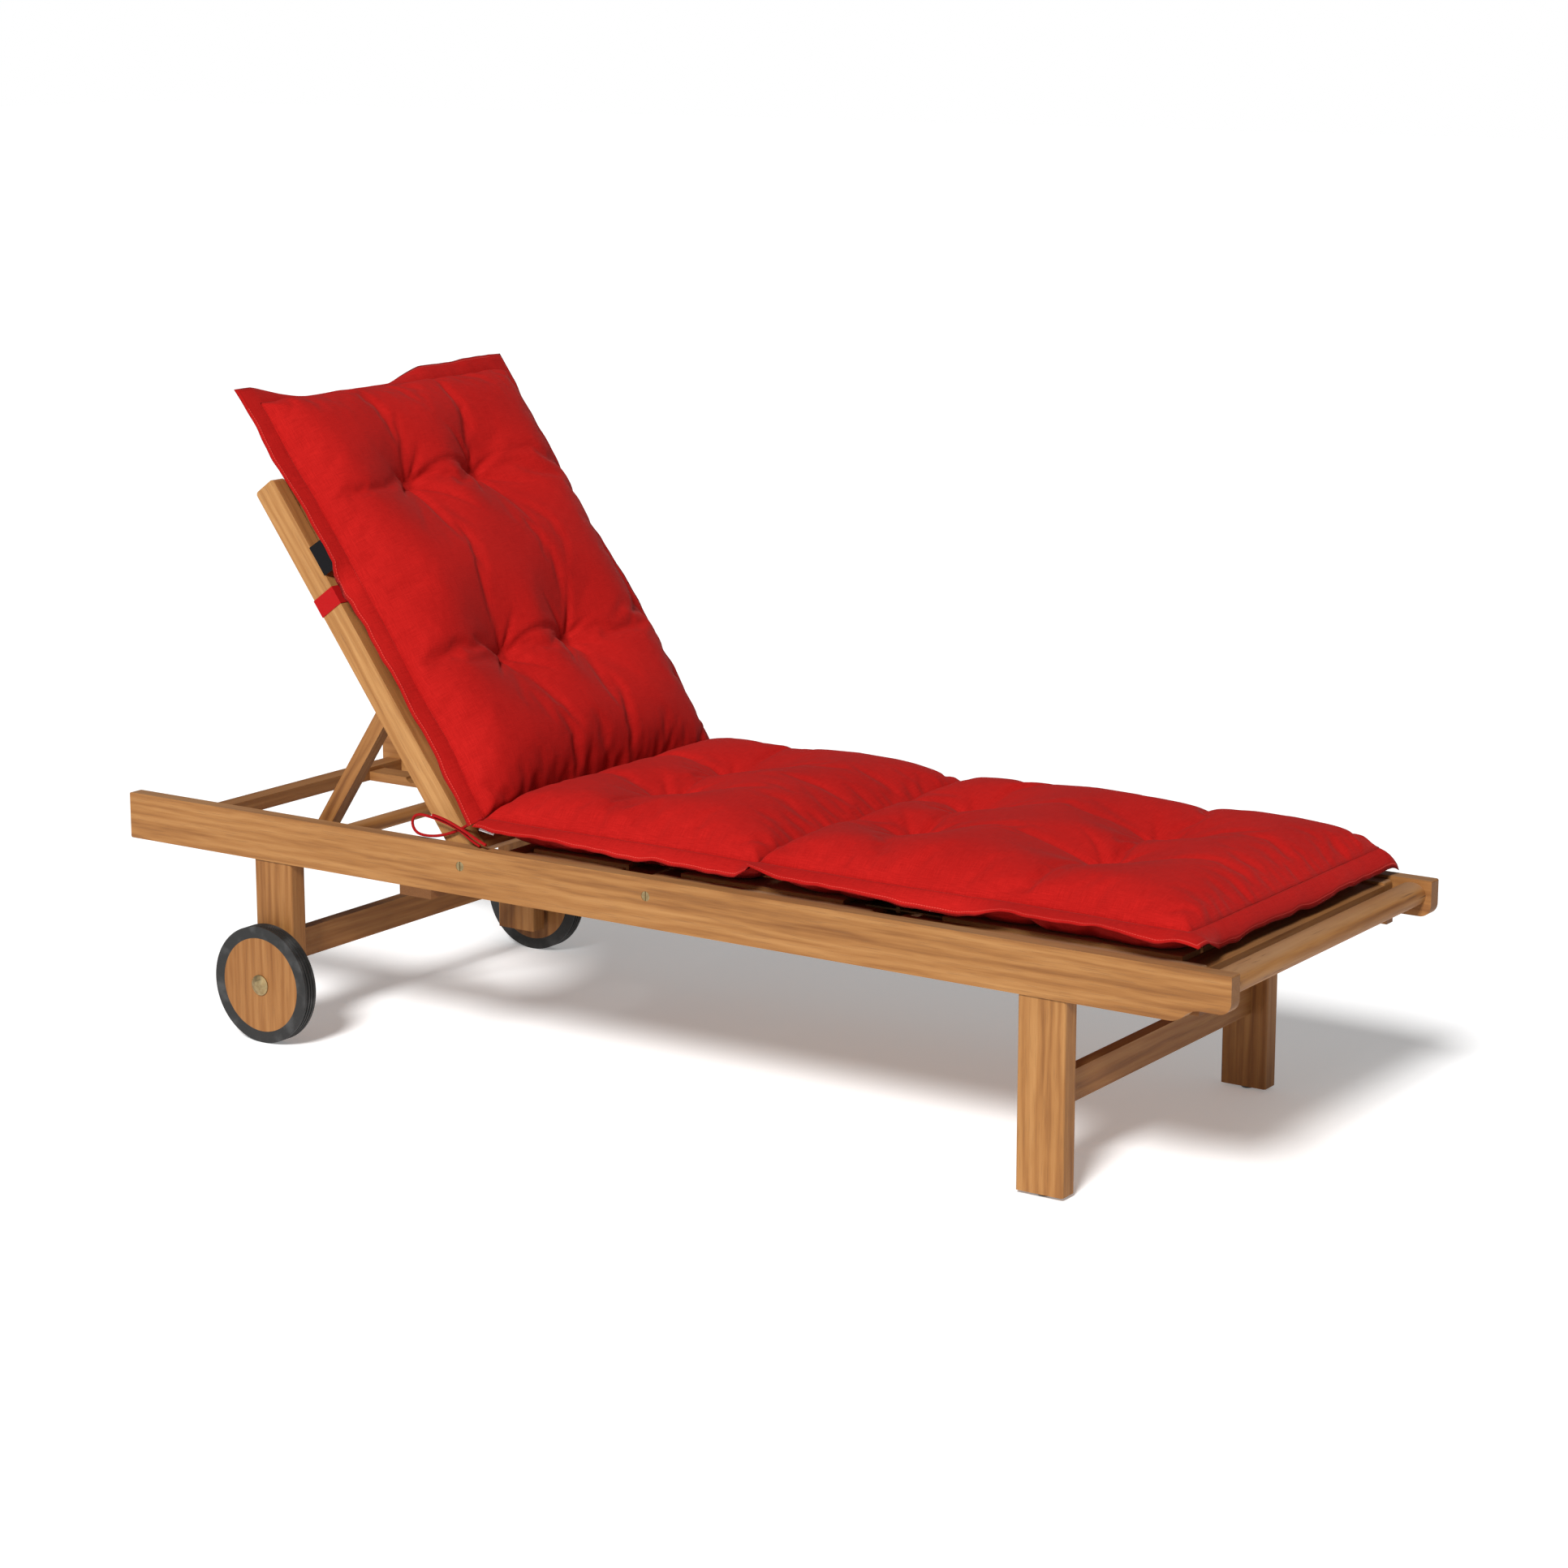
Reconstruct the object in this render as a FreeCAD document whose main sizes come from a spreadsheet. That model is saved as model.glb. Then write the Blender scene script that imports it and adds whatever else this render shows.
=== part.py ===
import FreeCAD, Part
import math
import os
import re

# A reclining teak sun lounger: two side rails on four legs, a pair of wheels under the head end, a backrest
# held by a notched rack, a hinged leg section and a tied-on cushion. Sizes are in millimetres and degrees.
# X runs from the head end to the foot end, Y from the near side to the far side, and Z up from the ground.

os.makedirs("parts", exist_ok=True)
doc = FreeCAD.newDocument("sun_lounger")
sheet = doc.addObject("Spreadsheet::Sheet", "sizes")
sheet.Label = "sizes"

SIZES = [
    # overall sizes of the frame; places along the lounger are counted from its head end
    ("rail_length", 2000), ("frame_width", 655), ("rail_top", 364), ("rail_height", 75), ("rail_thick", 24),
    ("rail_round", 3),
    ("head_end", "=-rail_length / 2"), ("foot_end", "=rail_length / 2"), ("rail_outer", "=frame_width / 2"),
    ("rail_inner", "=rail_outer - rail_thick"), ("rail_bottom", "=rail_top - rail_height"),
    # the carved horn at each rail's foot end
    ("horn_length", 45), ("horn_height", 55), ("ogee_length", 50), ("horn_radius", 18),
    # legs, stretchers and glides
    ("leg_width", 76), ("leg_thick", 34), ("leg_inset", 3), ("leg_round", 4), ("tenon_width", 50),
    ("tenon_thick", 10), ("tenon_height", 30), ("head_leg_at", 264), ("foot_leg_at", 1670),
    ("head_leg_bottom", 45), ("glide_height", 5), ("glide_radius", 13), ("glide_tip_radius", 9),
    ("stretcher_thick", 20), ("stretcher_height", 47), ("stretcher_bottom", 121), ("stretcher_tenon", 15),
    ("leg_outer", "=rail_outer - leg_inset"), ("leg_inner", "=leg_outer - leg_thick"),
    # wheels and axles
    ("wheel_radius", 94.6), ("disc_radius", 76), ("wheel_width", 24.8), ("wheel_gap", 11.8),
    ("axle_radius", 6), ("axle_clearance", 0.05), ("face_clearance", 0.3), ("groove_depth", 2),
    ("groove_width", 2.4), ("groove_pitch", 6), ("spacer_radius", 15), ("hub_radius", 16.5),
    ("hub_rim", 2), ("hub_dome", 4), ("axle_end_gap", 2),
    ("wheel_x", "=head_end + head_leg_at + leg_width / 2"), ("wheel_face", "=leg_outer + wheel_gap"),
    # bars across the frame
    ("crossbar_at", 10), ("crossbar_width", 32), ("rest_gap", 0.5), ("support_at", 566),
    ("support_width", 62), ("support_thick", 15), ("bar_at", 1945), ("bar_width", 46), ("bar_height", 36),
    ("bar_top_drop", 5), ("middle_bar_at", 1405), ("middle_bar_width", 38), ("middle_bar_drop", 15),
    ("ledger_thick", 20), ("ledger_height", 20), ("ledger_at", 1100), ("ledger_end", 1940),
    # pivots of the backrest and of the leg section
    ("back_pivot_at", 686), ("back_pivot_up", 334), ("knee_pivot_at", 1036), ("knee_pivot_up", 337),
    ("back_angle", 54), ("bolt_radius", 4), ("bolt_head_radius", 7.5), ("bolt_head_thick", 4),
    ("bolt_slot_width", 1.6), ("bolt_slot_depth", 1.2), ("bolt_head_recess", 0.5), ("pin_clearance", 0.05),
    ("bolt_end_gap", 3), ("washer_radius", 9),
    ("back_x", "=head_end + back_pivot_at"), ("knee_x", "=head_end + knee_pivot_at"),
    # the four slatted panels share these sizes
    ("stile_thick", 25), ("stile_height", 44), ("stile_gap", 2.5), ("panel_rail_width", 44),
    ("panel_rail_height", 22), ("rail_step", 4), ("slat_thick", 14), ("slat_rise", 4), ("slat_gap", 8),
    ("slat_count", 9), ("stile_round", 6), ("slat_round", 1.5),
    ("stile_outer", "=rail_inner - stile_gap"), ("stile_inner", "=stile_outer - stile_thick"),
    ("deck_stile_top", "=knee_pivot_up + stile_height / 2"), ("deck_top", "=deck_stile_top + slat_rise"),
    ("slat_width", "=(2 * stile_inner - (slat_count + 1) * slat_gap) / slat_count"),
    ("back_length", 678), ("back_tail", 22), ("back_rail_at", 12), ("back_top_margin", 6),
    ("seat_start", 739), ("knee_tail", 22), ("knee_lift", 25), ("thigh_end", 1403),
    ("thigh_rail_width", 58), ("calf_start", 1450), ("calf_rail_setback", 18), ("calf_end", 1938),
    # the thigh panel's tail sweeps this far back of its pivot when the leg section is raised
    ("tail_sweep", "=knee_tail * cos(knee_lift) + stile_height / 2 * sin(knee_lift)"),
    ("seat_end", "=knee_pivot_at - tail_sweep - face_clearance"),
    # the joint between the two leg panels
    ("hinge_inset", 51), ("hinge_width", 50), ("leaf_thick", 2.5), ("leaf_reach", 32),
    ("knuckle_radius", 4.5), ("hinge_pin_radius", 2), ("knuckle_gap", 0.4),
    ("hinge_out", "=stile_inner - hinge_inset"), ("hinge_x", "=head_end + (thigh_end + calf_start) / 2"),
    ("hinge_z", "=deck_stile_top - rail_step + leaf_thick / 2"),
    # the prop and its rack
    ("prop_along", 290), ("prop_offset", 6), ("prop_length", 298), ("prop_width", 24), ("prop_thick", 25),
    ("prop_gap", 2.5), ("prop_angle", 56.3), ("prop_pin_radius", 4), ("prop_head_radius", 8),
    ("prop_head_thick", 3), ("prop_pin_inset", 2), ("rack_lap", 8.5), ("rack_width", 39),
    ("rack_end", 628), ("rack_clearance", 0.6), ("notch_radius", 12.5), ("notch_depth", 9),
    ("notch_pitch", 70), ("notches_before", 3), ("notches_after", 1),
    ("prop_outer", "=stile_inner - prop_gap"), ("prop_inner", "=prop_outer - prop_thick"),
    ("rack_inner", "=prop_inner + rack_lap - rack_width"),
    ("prop_x", "=back_x - prop_along * cos(back_angle) - prop_offset * sin(back_angle)"),
    ("prop_z", "=back_pivot_up + prop_along * sin(back_angle) - prop_offset * cos(back_angle)"),
    ("foot_x", "=prop_x - prop_length * cos(prop_angle)"),
    ("foot_z", "=prop_z - prop_length * sin(prop_angle)"),
    ("rack_top", "=foot_z - prop_width / 2 - rack_clearance"),
    # the cushion, in four pads that meet at the folds, with its elastic loops
    ("pad_inset", 3.5), ("pad_half_width", "=rail_inner - pad_inset"), ("pad_thick", 82), ("pad_gap", 0.5), ("pad_round", 24), ("back_pad_start", 76),
    ("back_pad_end", 815), ("seat_pad_start", 704), ("seat_pad_lean", 50), ("seat_pad_end", 1018),
    ("thigh_pad_start", 1036), ("thigh_pad_lean", 46), ("thigh_pad_end", 1421), ("calf_pad_start", 1432),
    ("calf_pad_end", 1945), ("loop_at", 452), ("loop_width", 30), ("loop_thick", 1.2),
    ("tie_diameter", 4.5),
]
ALIASES = {name for name, _ in SIZES}

for row, (name, value) in enumerate(SIZES, start=1):
    sheet.set(f"A{row}", name)
    sheet.set(f"B{row}", str(value))
    sheet.setAlias(f"B{row}", name)
doc.recompute()


def size(name):
    return float(getattr(sheet, name))


def bind(piece, **formulas):
    """Ties properties to formulas of the named sizes; a double underscore stands for a dot."""
    for name, formula in formulas.items():
        words = re.sub(r"[a-z_]+", lambda m: f"sizes.{m[0]}" if m[0] in ALIASES else m[0], str(formula))
        piece.setExpression(name.replace("__", "."), words)
    return piece


def place(piece, x="0", y="0", z="0", turn=None, axis=(0, 1, 0)):
    if turn is not None:
        piece.Placement.Rotation = FreeCAD.Rotation(FreeCAD.Vector(*axis), 1)
        bind(piece, Placement__Rotation__Angle=turn)
    return bind(piece, Placement__Base__x=x, Placement__Base__y=y, Placement__Base__z=z)


def box(label, x, y, z):
    """A block between pairs of formulas, each pair a low and a high side."""
    piece = doc.addObject("Part::Box", label)
    bind(piece, Length=f"({x[1]}) - ({x[0]})", Width=f"({y[1]}) - ({y[0]})", Height=f"({z[1]}) - ({z[0]})")
    return place(piece, x[0], y[0], z[0])


def rod(label, x, y, z, radius):
    """A round bar along Y between a pair of formulas."""
    piece = doc.addObject("Part::Cylinder", label)
    bind(piece, Radius=radius, Height=f"({y[1]}) - ({y[0]})")
    piece.Placement.Rotation = FreeCAD.Rotation(FreeCAD.Vector(1, 0, 0), -90)
    return place(piece, x, y[0], z)


def cut(label, base, *tools):
    piece = doc.addObject("Part::Cut", label)
    piece.Base = base
    piece.Tool = tools[0] if len(tools) == 1 else fuse(label + "_cutter", *tools)
    return piece


def fuse(label, *shapes):
    piece = doc.addObject("Part::MultiFuse", label)
    piece.Shapes = list(shapes)
    return piece


def group(label, *pieces):
    piece = doc.addObject("Part::Compound", label)
    piece.Links = list(pieces)
    return piece


def rounded(label, base, radius, wanted):
    """Rounds those edges of a piece that the test picks."""
    doc.recompute()
    piece = doc.addObject("Part::Fillet", label)
    piece.Base = base
    edges = enumerate(base.Shape.Edges, start=1)
    piece.Edges = [(number, size(radius), size(radius)) for number, edge in edges if wanted(edge)]
    return piece


def along(edge, axis):
    ends = [vertex.Point for vertex in edge.Vertexes]
    if len(ends) < 2:
        return False
    way = ends[1] - ends[0]
    return way.Length > 1 and abs(abs(way.normalize()[axis]) - 1) < 1e-4


def drawn(label, outline, y_low, y_high):
    """A closed outline of lines and arcs in the XZ plane, made solid across Y."""
    piece = doc.addObject("Part::Feature", label)
    face = Part.Face(Part.Wire(Part.__sortEdges__(outline)))
    piece.Shape = face.extrude(FreeCAD.Vector(0, y_high - y_low, 0))
    piece.Placement.Base = FreeCAD.Vector(0, y_low, 0)
    return piece


def sides(low, high):
    """The near and the far pair of formulas for a piece that lies between two distances from the middle."""
    return {"near": (f"-({high})", f"-({low})"), "far": (low, high)}


SIDES = ("near", "far")
nodes = []


def node(name, piece):
    piece.Label = name
    nodes.append(piece)
    return piece


def bolt(label, x, z, side, head_radius="bolt_head_radius"):
    """A slotted bolt from the outside of a rail into a stile; its head lies just inside the rail's face."""
    out = "rail_outer - bolt_head_recess"
    head = sides(f"{out} - bolt_head_thick", out)[side]
    shank = sides("stile_inner + bolt_end_gap", f"{out} - bolt_head_thick")[side]
    slot = sides(f"{out} - bolt_slot_depth", f"{out} + 1")[side]
    body = fuse(label + "_body", rod(label + "_head", x, head, z, head_radius),
                rod(label + "_shank", x, shank, z, "bolt_radius"))
    groove = box(label + "_slot", (f"{x} - bolt_slot_width / 2", f"{x} + bolt_slot_width / 2"), slot,
                 (f"{z} - bolt_head_radius", f"{z} + bolt_head_radius"))
    return cut(label, body, groove)


# Side rails: one carved outline, with housings for the legs' tenons and for the pivot bolts.
def rail_outline():
    point = lambda x, z: FreeCAD.Vector(x, 0, z)
    head, foot = size("head_end"), size("foot_end")
    top, bottom = size("rail_top"), size("rail_bottom")
    edge, horn = size("rail_round"), size("rail_top") - size("horn_height")
    rise_end = foot - size("horn_length")
    rise_start = rise_end - size("ogee_length")
    middle = point((rise_start + rise_end) / 2, (horn + bottom) / 2)
    bend = (horn - bottom) / 8
    tip = size("horn_radius")
    corner = edge * (1 - math.sqrt(0.5))
    round_tip = tip * (1 - math.sqrt(0.5))
    line = lambda a, b: Part.LineSegment(a, b).toShape()
    arc = lambda a, b, c: Part.Arc(a, b, c).toShape()
    lower = point((rise_start + middle.x) / 2 + bend / 2, (bottom + middle.z) / 2 - bend)
    upper = point((rise_end + middle.x) / 2 - bend / 2, (horn + middle.z) / 2 + bend)
    return [
        line(point(head + edge, bottom), point(rise_start, bottom)),
        arc(point(rise_start, bottom), lower, middle),
        arc(middle, upper, point(rise_end, horn)),
        line(point(rise_end, horn), point(foot - tip, horn)),
        arc(point(foot - tip, horn), point(foot - round_tip, horn + round_tip), point(foot, horn + tip)),
        line(point(foot, horn + tip), point(foot, top - edge)),
        arc(point(foot, top - edge), point(foot - corner, top - corner), point(foot - edge, top)),
        line(point(foot - edge, top), point(head + edge, top)),
        arc(point(head + edge, top), point(head + corner, top - corner), point(head, top - edge)),
        line(point(head, top - edge), point(head, bottom + edge)),
        arc(point(head, bottom + edge), point(head + corner, bottom + corner), point(head + edge, bottom)),
    ]


def tenon(label, leg_at, side):
    middle = f"head_end + {leg_at} + leg_width / 2"
    across = sides("(rail_inner + rail_outer - tenon_thick) / 2", "(rail_inner + rail_outer + tenon_thick) / 2")
    return box(label, (f"{middle} - tenon_width / 2", f"{middle} + tenon_width / 2"), across[side],
               ("rail_bottom", "rail_bottom + tenon_height"))


def handle_bar(label, low, high):
    """An oval bar along Y; its outline is an ellipse that is drawn from the sheet."""
    half_width, half_height = size("bar_width") / 2, size("bar_height") / 2
    centre = FreeCAD.Vector(size("head_end") + size("bar_at") + half_width, 0,
                            size("rail_top") - size("bar_top_drop") - half_height)
    oval = Part.Ellipse(centre + FreeCAD.Vector(half_width, 0, 0), centre + FreeCAD.Vector(0, 0, half_height),
                        centre).toShape()
    piece = doc.addObject("Part::Feature", label)
    piece.Shape = Part.Face(Part.Wire(oval)).extrude(FreeCAD.Vector(0, high - low, 0))
    piece.Placement.Base = FreeCAD.Vector(0, low, 0)
    return piece


def bolt_holes(label, side):
    """The holes that a rail has for its two pivot bolts, each with a seat for the head."""
    cutters = []
    for pivot, x, z in (("back", "back_x", "back_pivot_up"), ("knee", "knee_x", "knee_pivot_up")):
        name = f"{label}_{pivot}"
        cutters.append(rod(name + "_hole", x, sides("rail_inner - 1", "rail_outer + 1")[side], z, "bolt_radius"))
        seat = sides("rail_outer - bolt_head_recess - bolt_head_thick", "rail_outer + 1")[side]
        cutters.append(rod(name + "_seat", x, seat, z, "bolt_head_radius"))
    return cutters


for side in SIDES:
    low = -size("rail_outer") if side == "near" else size("rail_inner")
    blank = drawn(f"rail_blank_{side}", rail_outline(), low, low + size("rail_thick"))
    tenons = [tenon(f"rail_{end}_tenon_{side}", f"{end}_leg_at", side) for end in ("head", "foot")]
    node(f"side_rail_{side}", cut(f"side_rail_{side}", blank, *tenons, *bolt_holes(f"rail_{side}", side)))


# Legs: tenoned up into the rails, with the stretchers' stub tenons let into their inner faces.
def stretcher(label, leg_at, reach):
    middle = f"head_end + {leg_at} + leg_width / 2"
    return box(label, (f"{middle} - stretcher_thick / 2", f"{middle} + stretcher_thick / 2"),
               (f"-({reach})", reach), ("stretcher_bottom", "stretcher_bottom + stretcher_height"))


for end, bottom in (("head", "head_leg_bottom"), ("foot", "glide_height")):
    at = f"{end}_leg_at"
    for side in SIDES:
        name = f"{end}_leg_{side}"
        post = box(name + "_post", (f"head_end + {at}", f"head_end + {at} + leg_width"),
                   sides("leg_inner", "leg_outer")[side], (bottom, "rail_bottom"))
        eased = rounded(name + "_eased", post, "leg_round", lambda edge: along(edge, 2))
        cutters = [stretcher(name + "_mortise", at, "leg_inner + stretcher_tenon")]
        if end == "head":
            bore = sides("leg_inner - 1", "leg_outer + 1")[side]
            cutters.append(rod(name + "_bore", "wheel_x", bore, "wheel_radius", "axle_radius"))
        leg = cut(name + "_cut", eased, *cutters)
        node(name, fuse(name, leg, tenon(name + "_tenon", at, side)))
    node(f"{end}_stretcher", stretcher(f"{end}_stretcher", at, "leg_inner + stretcher_tenon"))


def glide(side):
    piece = doc.addObject("Part::Cone", f"glide_{side}")
    bind(piece, Radius1="glide_tip_radius", Radius2="glide_radius", Height="glide_height")
    across = {"near": "-(leg_inner + leg_outer) / 2", "far": "(leg_inner + leg_outer) / 2"}[side]
    return place(piece, "head_end + foot_leg_at + leg_width / 2", across, "0")


node("foot_glides", group("foot_glides", *[glide(side) for side in SIDES]))

# Bars and boards across the frame.
crossbar_end = "head_end + crossbar_at + crossbar_width"
node("head_crossbar", box("head_crossbar", ("head_end + crossbar_at", crossbar_end),
                          ("-rail_inner", "rail_inner"),
                          ("rail_bottom", "back_pivot_up - stile_height / 2 - rest_gap")))
node("rack_support", box("rack_support",
                         ("head_end + support_at", "head_end + support_at + support_width"),
                         ("-rail_outer", "rail_outer"), ("rail_bottom - support_thick", "rail_bottom")))
node("middle_bar", box("middle_bar",
                       ("head_end + middle_bar_at", "head_end + middle_bar_at + middle_bar_width"),
                       ("-rail_inner", "rail_inner"),
                       ("deck_stile_top - stile_height", "rail_top - middle_bar_drop")))
node("handle_bar", handle_bar("handle_bar", -size("rail_inner"), size("rail_inner")))
ledger_top = "deck_stile_top - stile_height - face_clearance"
ledgers = [box(f"ledger_{side}", ("head_end + ledger_at", "head_end + ledger_end"),
               sides("rail_inner - ledger_thick", "rail_inner")[side], (f"{ledger_top} - ledger_height", ledger_top))
           for side in SIDES]
node("leg_ledgers", group("leg_ledgers", *ledgers))

# Racks: boards that lie along the frame, notched for the prop's foot.
for side in SIDES:
    name = f"rack_{side}"
    across = sides("rack_inner", "rack_inner + rack_width")[side]
    board = box(name + "_board", (crossbar_end, "head_end + rack_end"), across, ("rail_bottom", "rack_top"))
    notches = [rod(f"{name}_notch_{step + 4}", f"foot_x + ({step}) * notch_pitch",
                   sides("rack_inner - 1", "rack_inner + rack_width + 1")[side],
                   "rack_top - notch_depth + notch_radius", "notch_radius")
               for step in range(-int(size("notches_before")), int(size("notches_after")) + 1)]
    node(name, cut(name, board, *notches))


# Slatted panels. Each is drawn about its own pivot, lying flat, and is then placed and turned.
def panel_stiles(label, x, z, hole_at=None):
    """The two side members of a panel, with a hole for the pivot bolt where the panel turns on one."""
    pieces = []
    for side in SIDES:
        name = f"{label}_{side}"
        bar = box(name + "_bar", x, sides("stile_inner", "stile_outer")[side], z)
        piece = rounded(name + "_round", bar, "stile_round", lambda edge: along(edge, 1))
        if hole_at is not None:
            hole = sides("stile_inner + bolt_end_gap", "stile_outer + 1")[side]
            piece = cut(name + "_bored", piece,
                        rod(name + "_hole", hole_at[0], hole, hole_at[1], "bolt_radius + pin_clearance"))
        pieces.append(piece)
    return pieces


def cross_rail(label, x, top, reach="stile_inner"):
    low = f"{top} - rail_step - panel_rail_height"
    return box(label, x, (f"-{reach}", reach), (low, f"{top} - rail_step"))


def slats(label, x, top):
    """The row of slats that runs along a panel between its cross rails."""
    row = []
    for number in range(int(size("slat_count"))):
        low = f"-stile_inner + slat_gap + {number} * (slat_width + slat_gap)"
        bar = box(f"{label}_{number}", x, (low, f"{low} + slat_width"),
                  (f"{top} + slat_rise - slat_thick", f"{top} + slat_rise"))
        row.append(rounded(f"{label}_{number}_eased", bar, "slat_round", lambda edge: along(edge, 0)))
    return row


def on_back(name, *pieces):
    """Pieces that are drawn flat about the backrest's pivot, raised to the backrest's angle."""
    whole = place(group(name, *pieces), "back_x", "0", "back_pivot_up", turn="back_angle")
    return node(name, whole)


def on_prop(name, *pieces):
    """Pieces that are drawn folded flat about the prop's pivot, swung down to the rack."""
    whole = place(group(name, *pieces), "prop_x", "0", "prop_z", turn="prop_angle", axis=(0, -1, 0))
    return node(name, whole)


stile_span = ("-stile_height / 2", "stile_height / 2")
back_stiles = panel_stiles("back_stile", ("-back_length", "back_tail"), stile_span, hole_at=("0", "0"))
top_rail = ("-back_length + back_top_margin", "-back_length + back_top_margin + panel_rail_width")
bottom_rail = ("-back_rail_at - panel_rail_width", "-back_rail_at")
for side, stile in zip(SIDES, back_stiles):
    pin_hole = rod(f"back_stile_{side}_pin_hole", "-prop_along",
                   sides("stile_inner - 1", "stile_outer - prop_pin_inset")[side], "-prop_offset",
                   "prop_pin_radius")
    on_back(f"back_stile_{side}", cut(f"back_stile_{side}_whole", stile, pin_hole))
on_back("back_top_rail", cross_rail("back_top_rail_bar", top_rail, "stile_height / 2"))
on_back("back_bottom_rail", cross_rail("back_bottom_rail_bar", bottom_rail, "stile_height / 2"))
on_back("back_slats", *slats("back_slat", (top_rail[1], bottom_rail[0]), "stile_height / 2"))

seat_x = ("head_end + seat_start", "head_end + seat_end")
seat_back_rail = (seat_x[0], f"{seat_x[0]} + panel_rail_width")
seat_front_rail = (f"{seat_x[1]} - panel_rail_width", seat_x[1])
seat_span = (seat_back_rail[1], seat_front_rail[0])
deck_span = ("deck_stile_top - stile_height", "deck_stile_top")
node("seat_cross_rails", group("seat_cross_rails",
                               cross_rail("seat_back_rail", seat_back_rail, "deck_stile_top", "rail_inner"),
                               cross_rail("seat_front_rail", seat_front_rail, "deck_stile_top", "rail_inner")))
seat_sides = [box(f"seat_stile_{side}", seat_span, sides("stile_inner", "stile_outer")[side],
                  ("deck_stile_top - rail_step - panel_rail_height", "deck_stile_top")) for side in SIDES]
node("seat_stiles", group("seat_stiles", *seat_sides))
node("seat_slats", group("seat_slats", *slats("seat_slat", seat_span, "deck_stile_top")))

thigh_x = ("knee_x - knee_tail", "head_end + thigh_end")
thigh_stiles = panel_stiles("thigh_stile", thigh_x, deck_span, hole_at=("knee_x", "knee_pivot_up"))
thigh_first = (thigh_x[0], f"{thigh_x[0]} + panel_rail_width")
thigh_last = (f"{thigh_x[1]} - thigh_rail_width", thigh_x[1])
for side, stile in zip(SIDES, thigh_stiles):
    node(f"thigh_stile_{side}", stile)
node("thigh_cross_rails", group("thigh_cross_rails",
                                cross_rail("thigh_first_rail", thigh_first, "deck_stile_top"),
                                cross_rail("thigh_last_rail", thigh_last, "deck_stile_top")))
node("thigh_slats", group("thigh_slats", *slats("thigh_slat", (thigh_first[1], thigh_last[0]), "deck_stile_top")))

calf_x = ("head_end + calf_start", "head_end + calf_end")
calf_first = (f"{calf_x[0]} + calf_rail_setback", f"{calf_x[0]} + calf_rail_setback + panel_rail_width")
calf_last = (f"{calf_x[1]} - panel_rail_width", calf_x[1])
for side, stile in zip(SIDES, panel_stiles("calf_stile", calf_x, deck_span)):
    node(f"calf_stile_{side}", stile)
node("calf_cross_rails", group("calf_cross_rails",
                               cross_rail("calf_first_rail", calf_first, "deck_stile_top"),
                               cross_rail("calf_last_rail", calf_last, "deck_stile_top")))
node("calf_slats", group("calf_slats", *slats("calf_slat", (calf_first[1], calf_last[0]), "deck_stile_top")))


# Strap hinges between the two leg panels: leaves on the cross rails, three knuckles and a pin.
def knuckle(label, middle, share, bore=True):
    """One knuckle; share is its low and high part of the hinge's width."""
    span = [f"{middle} - hinge_width / 2 + {part} * hinge_width" for part in share]
    span = (f"{span[0]} + knuckle_gap / 2", f"{span[1]} - knuckle_gap / 2")
    barrel = rod(label + "_barrel", "hinge_x", span, "hinge_z", "knuckle_radius")
    if not bore:
        return barrel
    hole = rod(label + "_bore", "hinge_x", (f"{span[0]} - 1", f"{span[1]} + 1"), "hinge_z",
               "hinge_pin_radius + pin_clearance")
    return cut(label, barrel, hole)


def hinge_leaf(label, middle, to_thigh):
    """A leaf on a cross rail's top, reaching over the gap to its knuckles."""
    across = (f"{middle} - hinge_width / 2", f"{middle} + hinge_width / 2")
    height = ("deck_stile_top - rail_step", "deck_stile_top - rail_step + leaf_thick")
    clear = "knuckle_radius + 2 * knuckle_gap"
    if to_thigh:
        plate = box(label + "_plate", (f"{thigh_x[1]} - leaf_reach", f"hinge_x - ({clear})"), across, height)
        ends = ((0, 0.3), (0.7, 1))
        arm = ("hinge_x - knuckle_radius * 1.5", "hinge_x - hinge_pin_radius * 1.5")
    else:
        plate = box(label + "_plate", (f"hinge_x + {clear}", f"{calf_first[0]} + leaf_reach"), across, height)
        ends = ((0.3, 0.7),)
        arm = ("hinge_x + hinge_pin_radius * 1.5", "hinge_x + knuckle_radius * 1.5")
    parts = [plate]
    for number, share in enumerate(ends):
        tag = f"{label}_{number}"
        parts.append(knuckle(tag + "_knuckle", middle, share, bore=to_thigh))
        span = [f"{middle} - hinge_width / 2 + {part} * hinge_width" for part in share]
        parts.append(box(tag + "_arm", arm, (f"{span[0]} + knuckle_gap / 2", f"{span[1]} - knuckle_gap / 2"),
                         height))
    if not to_thigh:
        parts.append(rod(label + "_pin", "hinge_x", across, "hinge_z", "hinge_pin_radius"))
    return fuse(label, *parts)


hinge_places = ("-hinge_out", "hinge_out")
node("thigh_hinge_leaves", group("thigh_hinge_leaves", *[hinge_leaf(f"thigh_leaf_{number}", middle, True)
                                                        for number, middle in enumerate(hinge_places)]))
node("calf_hinge_leaves", group("calf_hinge_leaves", *[hinge_leaf(f"calf_leaf_{number}", middle, False)
                                                      for number, middle in enumerate(hinge_places)]))

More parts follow.
